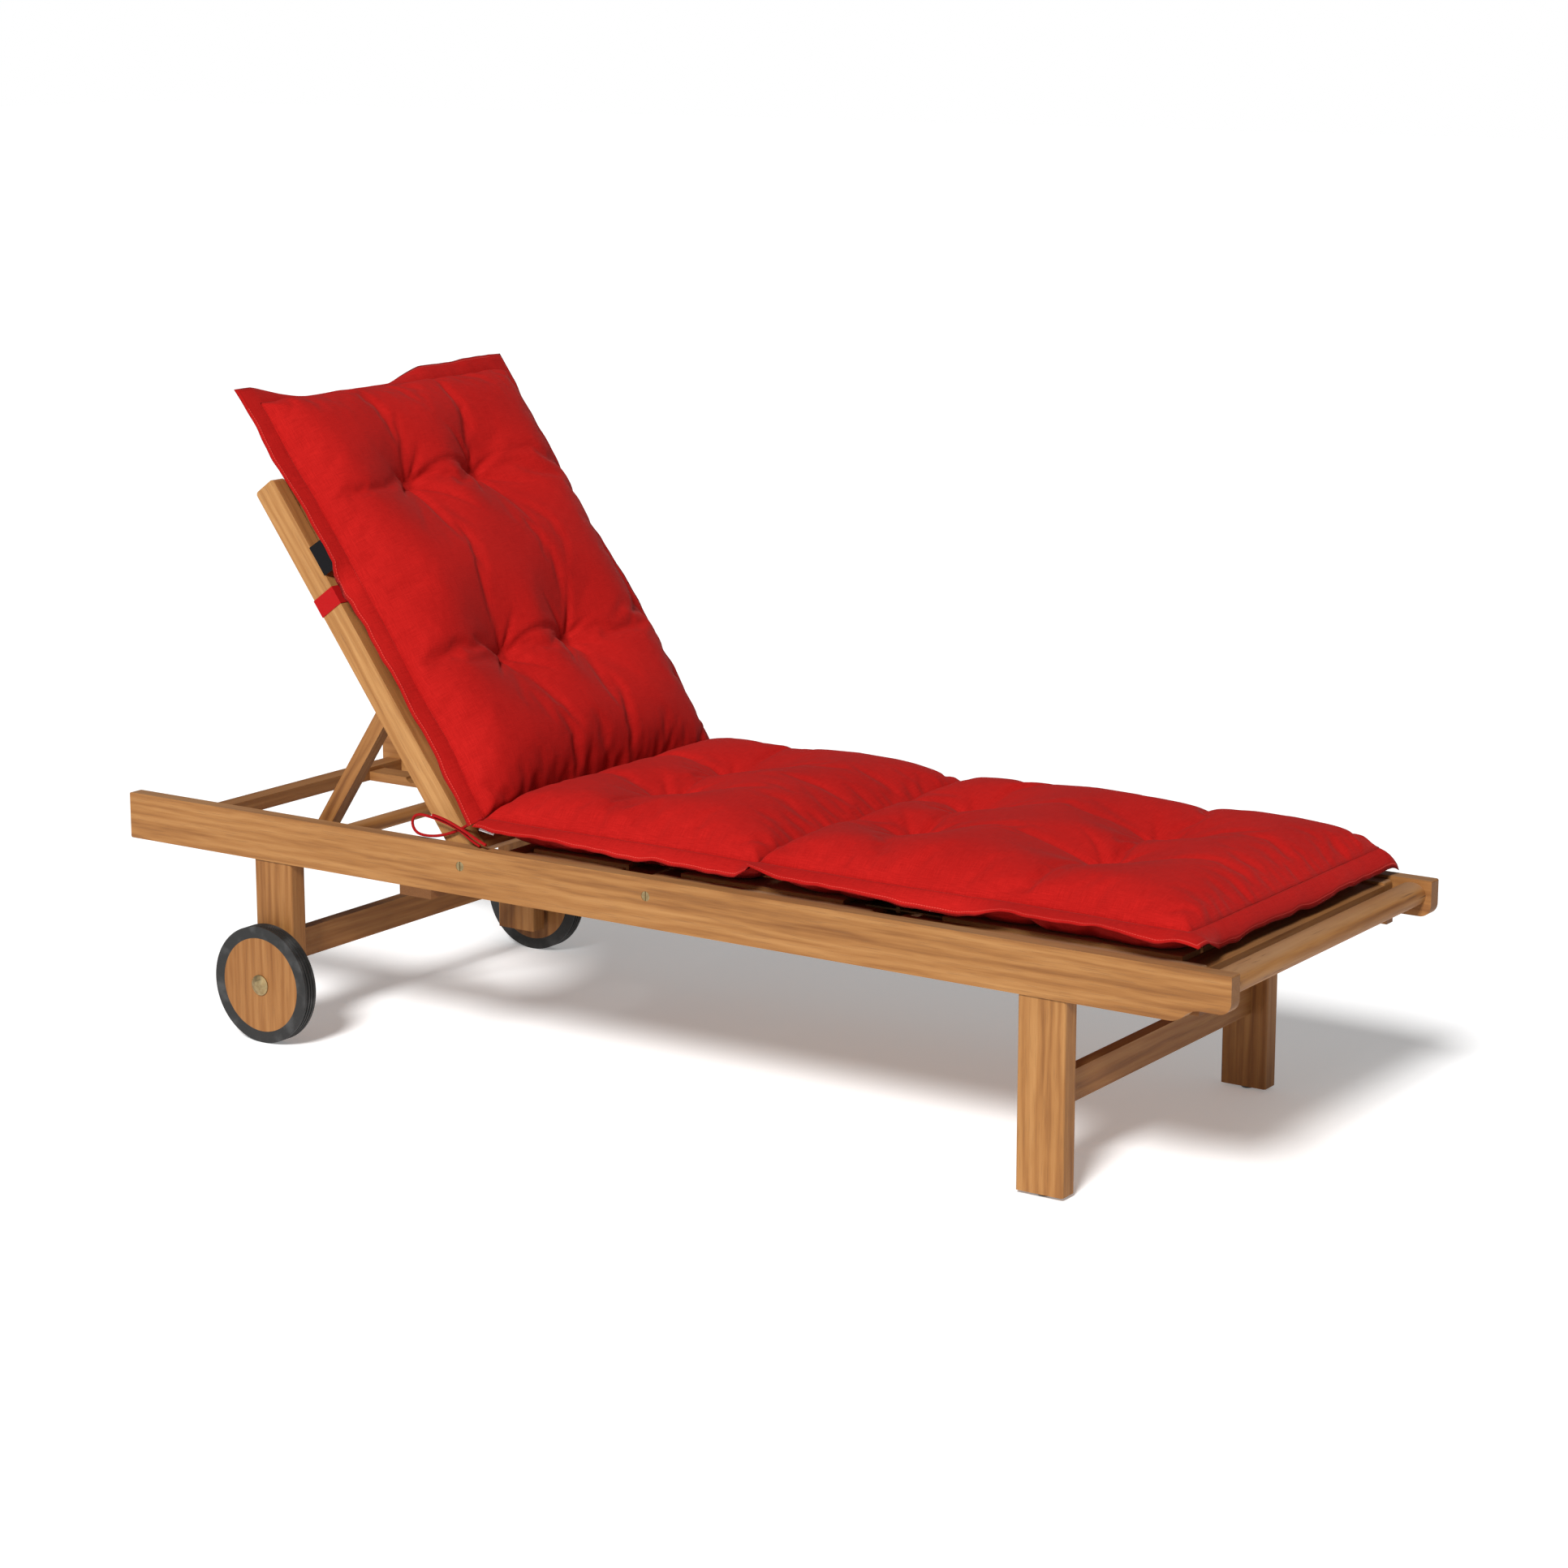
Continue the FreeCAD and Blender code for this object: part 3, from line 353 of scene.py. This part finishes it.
def rubber(name, colour, rough):
    """Grained rubber or plastic with dust on it."""
    f = Finish(name, Roughness=rough)
    f.shader.inputs["Specular IOR Level"].default_value = 0.4
    place = f.coordinates.outputs["Object"]
    grains = f.noise(place, scale=1400, detail=2)
    dust = f.noise(place, scale=30, detail=4)
    dusty = rgb(*[c + 0.035 for c in colour])
    f.links.new(f.blend(f.between(dust, 0.45, 0.75), rgb(*colour), dusty), f.shader.inputs["Base Color"])
    f.links.new(f.math("MULTIPLY_ADD", dust, 0.25, rough - 0.1), f.shader.inputs["Roughness"])
    f.links.new(f.relief(grains, 0.0002, 0.35), f.shader.inputs["Normal"])
    return f.material


def dress(nodes, material):
    """Gives CAD nodes, named in one string, their finish."""
    for name in nodes.split():
        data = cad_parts[name].data
        data.materials.clear()
        data.materials.append(material)


# Each group of wooden nodes: its grain, how light it is (kept lower on pieces that sit in shade, as painted
# shade), and how strong the painted sky reflection on its upper faces is.
WOOD = {
    "rail_near": ("side_rail_near", "long", 0.9, 0.6),
    "rail_far": ("side_rail_far", "long", 0.8, 0.6),
    "head_legs": ("head_leg_near head_leg_far", "upright", 0.79, 0.4),
    "foot_legs": ("foot_leg_near foot_leg_far", "upright", 0.95, 0.4),
    "stretchers": ("head_stretcher foot_stretcher", "cross", 0.74, 0.5),
    "head_bars": ("head_crossbar rack_support middle_bar", "cross", 0.6, 0.4),
    "ledgers": ("leg_ledgers", "long", 0.75, 0.3),
    "racks": ("rack_near rack_far", "long", 0.72, 0.4),
    "deck_rails": ("seat_cross_rails thigh_cross_rails calf_cross_rails", "cross", 0.74, 0.35),
    "deck_stiles": ("seat_stiles thigh_stile_near thigh_stile_far calf_stile_near calf_stile_far", "long",
                    0.95, 0.85),
    "deck_slats": ("seat_slats thigh_slats calf_slats", "long", 1.02, 0.7),
    "back_stiles": ("back_stile_near back_stile_far", "back", 1.01, 0.5),
    "back_rails": ("back_top_rail back_bottom_rail", "cross", 0.9, 0.4),
    "back_slats": ("back_slats", "back", 0.98, 0.4),
    "prop_legs": ("prop_leg_near prop_leg_far", "prop", 0.84, 0.4),
    "prop_bar": ("prop_foot_bar", "cross", 0.85, 0.4),
    "wheels": ("wheel_disc_near wheel_disc_far", "upright", 0.73, 0.2),
}
HANDLE_SEED = 23
RED = (0.385, 0.0056, 0.0042)
for seed, (name, (nodes, grain, tone, top_sheen_share)) in enumerate(WOOD.items(), start=1):
    dress(nodes, teak(f"teak_{name}", grain, seed, tone, top_sheen_share))
dress("handle_bar", teak("teak_handle_bar", "cross", HANDLE_SEED, 0.84, 0.75, cracks=0.9))
brass = metal("brass", (0.38, 0.29, 0.15), 0.38, (0.3, 0.21, 0.1))
steel = metal("steel", (0.55, 0.54, 0.52), 0.35, (0.35, 0.33, 0.3))
dress("back_bolts knee_bolts prop_pins thigh_hinge_leaves calf_hinge_leaves hub_cap_near hub_cap_far", brass)
dress("pivot_washers axle_near axle_far", steel)
dress("tyre_near tyre_far", rubber("tyre_rubber", (0.014, 0.0135, 0.013), 0.6))
dress("foot_glides", rubber("glide_plastic", (0.015, 0.015, 0.015), 0.4))
cushion_canvas = canvas("red_canvas", RED)
flange_canvas = canvas("red_canvas_flange", RED, flange=True)
elastic = webbing("red_elastic", (0.42, 0.004, 0.005), 260)
braid = webbing("red_braid", (0.36, 0.004, 0.005), 420)
dress("elastic_loops", elastic)
for cord in cords:
    cord.data.materials.append(braid)

# Cushion: one tufted pad in three sewn sections, with a flat flange round its edge.
# Where it lies: the deck's slats, the backrest's pivot and slats, and the seams between the sections.
DECK_UP = 0.3637
SEAM_UP = 0.042
SLAT_FACE = 0.0264
HIP_X = -0.290
FOLD_X = 0.215
FOOT_X = 0.918
BACK_TOP = 0.787
PIVOT = np.array((-0.314, 0, 0.334))
BACK_WAY = np.array((-math.cos(BACK_TILT), 0, math.sin(BACK_TILT)))
BACK_OUT = np.array((math.sin(BACK_TILT), 0, math.cos(BACK_TILT)))
HIP = np.array((HIP_X, 0, DECK_UP + SEAM_UP))
HIP_ALONG = float((HIP - PIVOT) @ BACK_WAY)
HIP_OFF = float((HIP - PIVOT) @ BACK_OUT)
HIP_REACH = 0.12
HIP_LEAN = math.radians(63)
HIP_NORMAL = np.array((math.sin(HIP_LEAN), 0, -math.cos(HIP_LEAN)))
HIP_GAP = 0.0008
# The filling: its width, the tufts either side of the middle, and how it starts out.
PAD_HALF = 0.297
TUFT_SIDE = 0.082
TUFT_HEIGHT = 0.006
TUFT_SPREAD = 0.036
TUFT_POWER = 1.3
TUFT_HOLD = 0.8
LOFT = 0.03
SHOULDER = 0.07
EDGE_EASE = 0.03
UNDER_SHARE = 0.95
SEAM_CREASE = 0.8
SEAM_BOW = 0.014
SEAM_WANDER = 0.005
WANDER_FROM = 0.2
WANDER_OVER = 0.1
# The cloth simulation that fills it.
CLOTH_STEP = 0.0085
CLOTH_GROWTH = 0.042
CLOTH_STIFFNESS = 16
CLOTH_SHEAR = 4
CLOTH_BENDING = 0.35
CLOTH_MASS = 0.3
CLOTH_QUALITY = 6
PRESSURE = 6.0
SIM_FRAMES = 22
MOST_RISE = 0.075
# Folds from the tufts, and puckers along the seams.
CREASE_RAYS = 7
CREASE_REACH = 0.1
CREASE_WIDE = 0.0052
CREASE_DEEP = 0.009
RAY_START = 0.35
RAY_SCATTER = 0.9
RAY_BEND = 1.2
RAY_SPREAD = 1.1
ARC_SHARE = 0.8
END_PUCKER = 0.004
END_PUCKER_REACH = 0.03
SIDE_PUCKER = 0.0018
SIDE_PUCKER_REACH = 0.02
PUCKER_EASE = 0.01
# The flange.
FLANGE = 0.032
FLANGE_THICK = 0.0028
FLANGE_TUCK = 0.005
FLANGE_LOW = 0.004
FLANGE_STEP = 0.008
FLANGE_ROWS = 6
FLANGE_ROOT_DROP = 0.35
FLANGE_WAVES = 11
FLANGE_WAVE_POWER = 1.5
FLANGE_WAVE = 0.0065
FLANGE_RIPPLE = 0.003
FLANGE_SWAY = 0.004
CORNER_COLUMNS = 8
FLANGE_SLOT = 1
# Distances that count as none.
NO_LENGTH = 1e-9
ON_SEAM = 1e-6
MERGE = 1e-5


def smooth(value):
    value = np.clip(value, 0, 1)
    return value * value * (3 - 2 * value)


def wobble(first, second, third):
    """Smooth noise at many places."""
    return np.array([noise.noise(Vector((x, y, third))) for x, y in zip(first, second)])


def on_backrest(points):
    """Lays (along, across, up) points on the backrest's slats, meeting the seat at the hip seam."""
    along, across, up = points.T
    dip = (SLAT_FACE + SEAM_UP - HIP_OFF) * (1 - smooth(along / HIP_REACH))
    distance = HIP_ALONG + along
    off = SLAT_FACE + np.maximum(up - dip, 0)
    placed = PIVOT + np.outer(distance, BACK_WAY) + np.outer(off, BACK_OUT)
    placed[:, 1] = across
    over = np.maximum((placed - HIP) @ HIP_NORMAL + HIP_GAP, 0)
    return placed - np.outer(over, HIP_NORMAL)


def on_deck(start, lean=False):
    """A way to lay (along, across, up) points on the level deck from a place along it, leaning back at the hip
    seam if it has one."""
    def lay(points):
        placed = points + np.array((start, 0, DECK_UP))
        if lean:
            short = np.minimum((placed - HIP) @ HIP_NORMAL - HIP_GAP, 0)
            placed = placed - np.outer(short, HIP_NORMAL)
        return placed
    return lay


# Each section: its length, where its tuft rows are, how far a fold between two tufts bows, how it is laid, how
# much of its top height stays, the CAD pads that it stands for, the two bodies listed for it with a place from
# and a place to, and how far its flange hangs, in degrees at shares of each side's length.
SECTIONS = {
    "back": {
        "length": BACK_TOP - HIP_ALONG, "tufts": (0.287 - HIP_ALONG, 0.602 - HIP_ALONG), "bow": 0.02,
        "lay": on_backrest, "flat": 1.0, "stands_for": ("cushion_back",), "bodies": ("backrest", "frame"),
        "from": (-0.345, 0, 0.465), "to": (-0.292, 0, 0.404),
        "drop": {"near": ((0, 25), (0.3, 8), (0.53, 20), (0.573, 68), (0.62, 10), (1, 5)),
                 "far": ((0, 20), (0.45, 0), (0.6, 15), (1, 5)),
                 "end": ((0, 5), (0.1, 35), (0.2, 75), (0.55, 70), (0.7, 15), (1, 0))}},
    "seat": {
        "length": FOLD_X - HIP_X, "tufts": (-0.095 - HIP_X,), "bow": 0.0,
        "lay": on_deck(HIP_X, lean=True), "flat": 0.88, "stands_for": ("cushion_seat",),
        "bodies": ("frame", "thigh_panel"), "from": (-0.03, 0, 0.4), "to": (0.1, 0, 0.4),
        "drop": {"near": ((0, 10), (0.3, 20), (0.75, 35), (0.95, 35), (1, 5)), "far": ((0, 20), (1, 25))}},
    "leg": {
        "length": FOOT_X - FOLD_X, "tufts": (0.348 - FOLD_X, 0.668 - FOLD_X), "bow": 0.0,
        "lay": on_deck(FOLD_X), "flat": 0.84, "stands_for": ("cushion_thigh", "cushion_calf"),
        "bodies": ("thigh_panel", "calf_panel"), "from": (0.36, 0, 0.4), "to": (0.49, 0, 0.4),
        "drop": {"near": ((0, 0), (0.08, 12), (0.2, 25), (0.35, 30), (0.5, 48), (0.6, 8), (0.8, 10), (0.95, 20),
                          (1, 10)),
                 "far": ((0, 25), (0.9, 30), (1, 40)),
                 "end": ((0, 15), (0.12, 65), (0.5, 60), (0.85, 55), (1, 45))}},
}


def read_points(data):
    points = np.zeros(len(data.vertices) * 3)
    data.vertices.foreach_get("co", points)
    return points.reshape(-1, 3)


def write_points(data, points):
    data.vertices.foreach_set("co", points.ravel())
    data.update()


def stuffing(along, across, length, tufts):
    """How far the filling holds one layer off the seam's plane, before it is blown up."""
    inside = min(length / 2 - abs(along), PAD_HALF - abs(across))
    if inside < CLOTH_STEP / 2:
        return 0
    crown = LOFT * math.sqrt(1 - (1 - min(1, inside / SHOULDER)) ** 2)
    for row in tufts:
        for side in (-TUFT_SIDE, TUFT_SIDE):
            away = math.hypot(along - (row - length / 2), across - side)
            crown *= 1 - math.exp(-((away / TUFT_SPREAD) ** TUFT_POWER))
    return TUFT_HEIGHT * min(1, inside / EDGE_EASE) + crown


def sewn_layers(length, tufts):
    """Two layers of cloth, sewn round their edge and held apart inside it. X runs along the section from its
    middle; the UV map holds the flat cloth's own sizes."""
    cloth = bmesh.new()
    uv = cloth.loops.layers.uv.new("cloth")
    bmesh.ops.create_grid(cloth, x_segments=round(length / CLOTH_STEP),
                          y_segments=round(2 * PAD_HALF / CLOTH_STEP), size=0.5)
    bmesh.ops.scale(cloth, vec=(length, 2 * PAD_HALF, 1), verts=cloth.verts)
    below = bmesh.ops.duplicate(cloth, geom=cloth.verts[:] + cloth.edges[:] + cloth.faces[:])["geom"]
    lower = {v for v in below if isinstance(v, bmesh.types.BMVert)}
    bmesh.ops.reverse_faces(cloth, faces=[f for f in below if isinstance(f, bmesh.types.BMFace)])
    for face in cloth.faces:
        for loop in face.loops:
            loop[uv].uv = (loop.vert.co.x, loop.vert.co.y)
    for vert in cloth.verts:
        rise = stuffing(vert.co.x, vert.co.y, length, tufts)
        vert.co.z = -UNDER_SHARE * rise if vert in lower else rise
    bmesh.ops.remove_doubles(cloth, verts=cloth.verts, dist=MERGE)
    crease = cloth.edges.layers.float.new("crease_edge")
    for edge in cloth.edges:
        if all(abs(v.co.z) < ON_SEAM for v in edge.verts):
            edge[crease] = SEAM_CREASE
    return cloth


def bowed(points, length):
    """Draws the seams in a little between the corners, and lets them wander."""
    along, across, up = points.T
    belly = 1 - (2 * along / length) ** 2
    across = across * (1 - SEAM_BOW * belly)
    wander = wobble(along * 9, np.copysign(3, across), 0.3)
    edge = smooth((np.abs(across) - WANDER_FROM) / WANDER_OVER)
    across = across + SEAM_WANDER * wander * edge
    return np.stack((along, across, up), axis=1)


def inflate(data, length, tufts):
    """Fills the sewn layers with pressure, with the seam and the tufts held."""
    pillow = bpy.data.objects.new("filling", data)
    scene.collection.objects.link(pillow)
    points = bowed(read_points(data), length)
    write_points(data, points)
    held = pillow.vertex_groups.new(name="held")
    stays = np.abs(points[:, 2]) < ON_SEAM
    for row in tufts:
        for side in (-TUFT_SIDE, TUFT_SIDE):
            near = np.hypot(points[:, 0] - (row - length / 2), points[:, 1] - side)
            stays |= near < TUFT_HOLD * CLOTH_STEP
    held.add([int(number) for number in np.nonzero(stays)[0]], 1.0, "REPLACE")
    modifier = pillow.modifiers.new("cloth", "CLOTH")
    cloth = modifier.settings
    cloth.quality = CLOTH_QUALITY
    cloth.mass = CLOTH_MASS
    cloth.tension_stiffness = CLOTH_STIFFNESS
    cloth.compression_stiffness = CLOTH_STIFFNESS
    cloth.shear_stiffness = CLOTH_SHEAR
    cloth.bending_stiffness = CLOTH_BENDING
    cloth.use_pressure = True
    cloth.uniform_pressure_force = PRESSURE
    cloth.shrink_min = -CLOTH_GROWTH
    cloth.vertex_group_mass = "held"
    cloth.effector_weights.gravity = 0
    modifier.collision_settings.use_collision = False
    for number in range(1, SIM_FRAMES + 1):
        scene.frame_set(number)
    graph = bpy.context.evaluated_depsgraph_get()
    filled = read_points(pillow.evaluated_get(graph).data)
    pillow.modifiers.remove(modifier)
    scene.frame_set(1)
    moved = filled - points
    far = np.linalg.norm(moved, axis=1)
    moved *= np.minimum(1, MOST_RISE / np.maximum(far, NO_LENGTH))[:, None]
    write_points(data, points + moved)
    return pillow


def creased(points, length, part):
    """Folds that spread from each tuft and join the tufts of a row, and puckers along the seams. The points are
    in the flat cloth's own frame, and only the upper layer changes."""
    along, across, up = points.T
    upper = up > MERGE
    fold = np.zeros(len(points))
    for number, row in enumerate(part["tufts"]):
        middle = row - length / 2
        for side in (-1, 1):
            forward, sideways = along - middle, (across - side * TUFT_SIDE) * side
            away = np.hypot(forward, sideways)
            bearing = np.arctan2(sideways, forward)
            for ray in range(CREASE_RAYS):
                chance = noise.noise(Vector((ray * 3.7 + 0.5, number * 5.1 + side, 0.7)))
                heading = math.tau * ray / CREASE_RAYS + RAY_SCATTER * chance + RAY_START
                bend = RAY_BEND * chance * away / CREASE_REACH
                turned = np.arctan2(np.sin(bearing - heading), np.cos(bearing - heading)) + bend
                reach = CREASE_REACH * (1 + RAY_SPREAD * chance)
                beside = away * np.abs(np.sin(turned)) + 10 * (np.cos(turned) < 0)
                fold += CREASE_DEEP * np.exp(-((beside / CREASE_WIDE) ** 2)) * (1 - smooth(away / reach))
        between = np.abs(across) < TUFT_SIDE
        arc = middle + part["bow"] * (1 - (across / TUFT_SIDE) ** 2)
        fold += between * CREASE_DEEP * ARC_SHARE * np.exp(-(((along - arc) / CREASE_WIDE) ** 2))
    to_end = np.exp(-(length / 2 - np.abs(along)) / END_PUCKER_REACH)
    to_side = np.exp(-(PAD_HALF - np.abs(across)) / SIDE_PUCKER_REACH)
    puckers = END_PUCKER * to_end * wobble(along * 9, across * 85, 4.5)
    puckers = puckers + SIDE_PUCKER * to_side * wobble(along * 70, across * 70, 1.5)
    up = up - upper * np.minimum(fold, np.maximum(up - TUFT_HEIGHT, 0))
    up = up + upper * puckers * smooth(up / PUCKER_EASE)
    up = np.where(upper, up * part["flat"], up)
    return np.stack((along, across, up), axis=1)


def settled(obj):
    """The object's mesh after one smooth subdivision, ready for its last shaping."""
    modifier = obj.modifiers.new("fine", "SUBSURF")
    modifier.levels = modifier.render_levels = 1
    graph = bpy.context.evaluated_depsgraph_get()
    data = bpy.data.meshes.new_from_object(obj.evaluated_get(graph))
    bpy.data.objects.remove(obj)
    return data


def flange_path(length, ends):
    """Places just inside the section's seam, each with the way that the flange points there. An end with a
    flange joins the two sides round square corners."""
    half = PAD_HALF - FLANGE_TUCK
    end = length / 2 - FLANGE_TUCK

    def side_row(across):
        count = round(length / FLANGE_STEP)
        turn = math.copysign(math.pi / 2, across)
        last = end if ends else length / 2
        return [(-length / 2 + (last + length / 2) * n / count, across, turn) for n in range(count + 1)]

    def corner(along, across):
        turns = [math.pi / 2 * n / CORNER_COLUMNS for n in range(1, CORNER_COLUMNS)]
        return [(along, across, math.copysign(turn, across)) for turn in turns]

    near = side_row(-half)
    far = side_row(half)
    if not ends:
        return [near, far]
    count = round(2 * half / FLANGE_STEP)
    across_end = [(end, half * (2 * n / count - 1), 0.0) for n in range(count + 1)]
    return [near + corner(end, -half)[::-1] + across_end + corner(end, half) + far[::-1]]


def drop_at(part, along, across, turn, length):
    """How far the flange hangs down from the seam's own plane there, in radians."""
    def keyed(edge, share):
        return np.interp(share, *zip(*part["drop"][edge]))

    side_drop = keyed("near" if across < 0 else "far", along / length + 0.5)
    if "end" not in part["drop"]:
        return math.radians(side_drop)
    on_side = abs(math.sin(turn))
    end_drop = keyed("end", across / (2 * PAD_HALF) + 0.5)
    return math.radians(side_drop * on_side + end_drop * (1 - on_side))


def flange_strip(part, path, length, seed):
    """A band of doubled cloth, sewn to the seam and wavy at its hem. The grid's lower half becomes the under
    layer and its upper half the top layer; they meet at the hem and at the seam."""
    strip = bmesh.new()
    uv = strip.loops.layers.uv.new("cloth")
    columns = len(path)
    bmesh.ops.create_grid(strip, x_segments=columns - 1, y_segments=2 * FLANGE_ROWS, size=0.5)
    seam = bowed(np.array([(along, across, SEAM_UP) for along, across, _ in path]), length)
    walked = np.concatenate(([0], np.cumsum(np.linalg.norm(np.diff(seam, axis=0), axis=1))))
    spots = []
    strip.verts.ensure_lookup_table()
    strip.verts.index_update()
    for vert in strip.verts:
        column = round((vert.co.x + 0.5) * (columns - 1))
        share = 1 - abs(vert.co.y) * 2
        layer = 0 if share > 0.999 or share < 0.001 else math.copysign(1, vert.co.y)
        along, across, turn = path[column]
        reach = (FLANGE + FLANGE_TUCK) * share / max(abs(math.cos(turn)), abs(math.sin(turn)))
        drop = drop_at(part, along, across, turn, length)
        drop = drop * (FLANGE_ROOT_DROP + (1 - FLANGE_ROOT_DROP) * share)
        here = walked[column] * FLANGE_WAVES + seed
        wave = FLANGE_WAVE * noise.noise(Vector((here, seed, 0)))
        wave += FLANGE_RIPPLE * noise.noise(Vector((here * 3.1, 5, seed)))
        sway = FLANGE_SWAY * noise.noise(Vector((here * 0.8, 9, seed))) * share
        outward = np.array((math.cos(turn), math.sin(turn), 0))
        up = np.array((0, 0, 1))
        face_way = up * math.cos(drop) + outward * math.sin(drop)
        place = seam[column] + outward * (reach * math.cos(drop) + sway)
        place = place + up * (wave * share ** FLANGE_WAVE_POWER - reach * math.sin(drop))
        place = place + face_way * layer * FLANGE_THICK / 2
        place[2] = max(place[2], FLANGE_LOW + layer * FLANGE_THICK / 2)
        spots.append((walked[column], FLANGE * share))
        vert.co = place
    for face in strip.faces:
        for loop in face.loops:
            loop[uv].uv = spots[loop.vert.index]
    bmesh.ops.remove_doubles(strip, verts=strip.verts, dist=MERGE)
    bmesh.ops.recalc_face_normals(strip, faces=strip.faces)
    for face in strip.faces:
        face.material_index = FLANGE_SLOT
        face.smooth = True
    return strip


def pad_section(name, part):
    """One section of the cushion, filled, laid on its panel and bent where the panels turn."""
    length = part["length"]
    cloth = sewn_layers(length, part["tufts"])
    data = bpy.data.meshes.new(f"{name}_pillow")
    cloth.to_mesh(data)
    cloth.free()
    pillow = inflate(data, length, part["tufts"])
    data = settled(pillow)
    points = creased(read_points(data), length, part)
    points[:, 2] += SEAM_UP
    write_points(data, points)
    whole = bmesh.new()
    whole.from_mesh(data)
    for face in whole.faces:
        face.smooth = True
    for number, path in enumerate(flange_path(length, "end" in part["drop"])):
        strip = flange_strip(part, path, length, number * 7.3 + part["tufts"][0] * 50)
        band = bpy.data.meshes.new("band")
        strip.to_mesh(band)
        strip.free()
        whole.from_mesh(band)
        bpy.data.meshes.remove(band)
    whole.to_mesh(data)
    whole.free()
    points = read_points(data)
    points[:, 0] += length / 2
    points[:, 2] = np.maximum(points[:, 2], 0)
    write_points(data, part["lay"](points))
    for material in (cushion_canvas, flange_canvas):
        data.materials.append(material)
    section = bpy.data.objects.new(f"{name}_section", data)
    scene.collection.objects.link(section)
    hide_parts(*part["stands_for"])
    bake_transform(section)


for name, part in SECTIONS.items():
    pad_section(name, part)

# Small sewn-on pieces: a blank tab over the near stile, and a blank care label at the hip corner.
LABEL_ALONG = (0.503, 0.553)
LABEL_OFF = (0.021, 0.046)
LABEL_Y = -0.3018
LABEL_LEAN = 0.004
CARE_LABEL = ((-0.283, -0.318, 0.3935), (-0.255, -0.318, 0.3895),
              (-0.283, -0.31, 0.4035), (-0.255, -0.31, 0.3995))
TAB_THICK = 0.0009
TAB_CURL = 0.0004
TAB_GRID = 8


def sewn_tab(name, corners, material, body):
    """A small doubled tab between four corners, a little curled."""
    tab = bmesh.new()
    bmesh.ops.create_grid(tab, x_segments=TAB_GRID, y_segments=TAB_GRID, size=0.5)
    low_left, low_right, top_left, top_right = [Vector(corner) for corner in corners]
    normal = (low_right - low_left).cross(top_left - low_left).normalized()
    for vert in tab.verts:
        across, up = vert.co.x + 0.5, vert.co.y + 0.5
        place = low_left.lerp(low_right, across).lerp(top_left.lerp(top_right, across), up)
        vert.co = place + normal * TAB_CURL * math.sin(math.pi * across) * (1 - up)
    bmesh.ops.solidify(tab, geom=tab.faces[:], thickness=TAB_THICK)
    bmesh.ops.recalc_face_normals(tab, faces=tab.faces)
    data = bpy.data.meshes.new(name)
    tab.to_mesh(data)
    tab.free()
    data.materials.append(material)
    obj = bpy.data.objects.new(name, data)
    scene.collection.objects.link(obj)
    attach(obj, body)


def black_tab_corners():
    """Two corners against the stile's side, and two above it that lean in under the flange."""
    corners = []
    for off, lean in zip(LABEL_OFF, (0, LABEL_LEAN)):
        for along in LABEL_ALONG:
            x, _, z = PIVOT + along * BACK_WAY + off * BACK_OUT
            corners.append((x, LABEL_Y + lean, z))
    return corners


sewn_tab("blank_black_tab", black_tab_corners(), plain_cloth_label("black_woven", (0.006, 0.006, 0.007)),
         "backrest")
sewn_tab("blank_care_label", CARE_LABEL, plain_cloth_label("white_satin", (0.75, 0.75, 0.73)), "frame")

# Studio: a pale floor, a soft key light from the near side, and light from all round.
KEY_FROM = (0.20, -0.74, 0.64)
KEY_STRENGTH = 4.0
KEY_SPREAD = math.radians(14)
ROOM_LIGHT = 0.21
FLOOR_SIZE = 30
FLOOR_GLOW = 0.22


def make_floor():
    floor = bmesh.new()
    bmesh.ops.create_grid(floor, x_segments=1, y_segments=1, size=FLOOR_SIZE)
    data = bpy.data.meshes.new("studio_floor")
    floor.to_mesh(data)
    floor.free()
    f = Finish("pale_floor", Roughness=0.9)
    speckle = f.noise(f.coordinates.outputs["Object"], scale=60, detail=2)
    pale = f.blend(speckle, rgb(0.93, 0.93, 0.93), rgb(0.95, 0.95, 0.95))
    f.links.new(pale, f.shader.inputs["Base Color"])
    f.shader.inputs["Emission Color"].default_value = rgb(1, 1, 1)
    f.shader.inputs["Emission Strength"].default_value = FLOOR_GLOW
    data.materials.append(f.material)
    obj = bpy.data.objects.new("studio_floor", data)
    scene.collection.objects.link(obj)


def make_light():
    light = bpy.data.lights.new("key", "SUN")
    light.energy = KEY_STRENGTH
    light.angle = KEY_SPREAD
    lamp = bpy.data.objects.new("key", light)
    lamp.rotation_euler = Vector(KEY_FROM).to_track_quat("Z", "Y").to_euler()
    scene.collection.objects.link(lamp)


def make_world():
    """White to the camera, and dimmer as a light."""
    world = bpy.data.worlds.new("studio")
    world.use_nodes = True
    nodes, links = world.node_tree.nodes, world.node_tree.links
    sky = nodes["Background"]
    sky.inputs["Color"].default_value = rgb(1, 1, 1)
    seen = nodes.new("ShaderNodeLightPath")
    strength = nodes.new("ShaderNodeMapRange")
    strength.inputs["To Min"].default_value = ROOM_LIGHT
    strength.inputs["To Max"].default_value = 1
    links.new(seen.outputs["Is Camera Ray"], strength.inputs["Value"])
    links.new(strength.outputs[0], sky.inputs["Strength"])
    scene.world = world


make_floor()
make_light()
make_world()
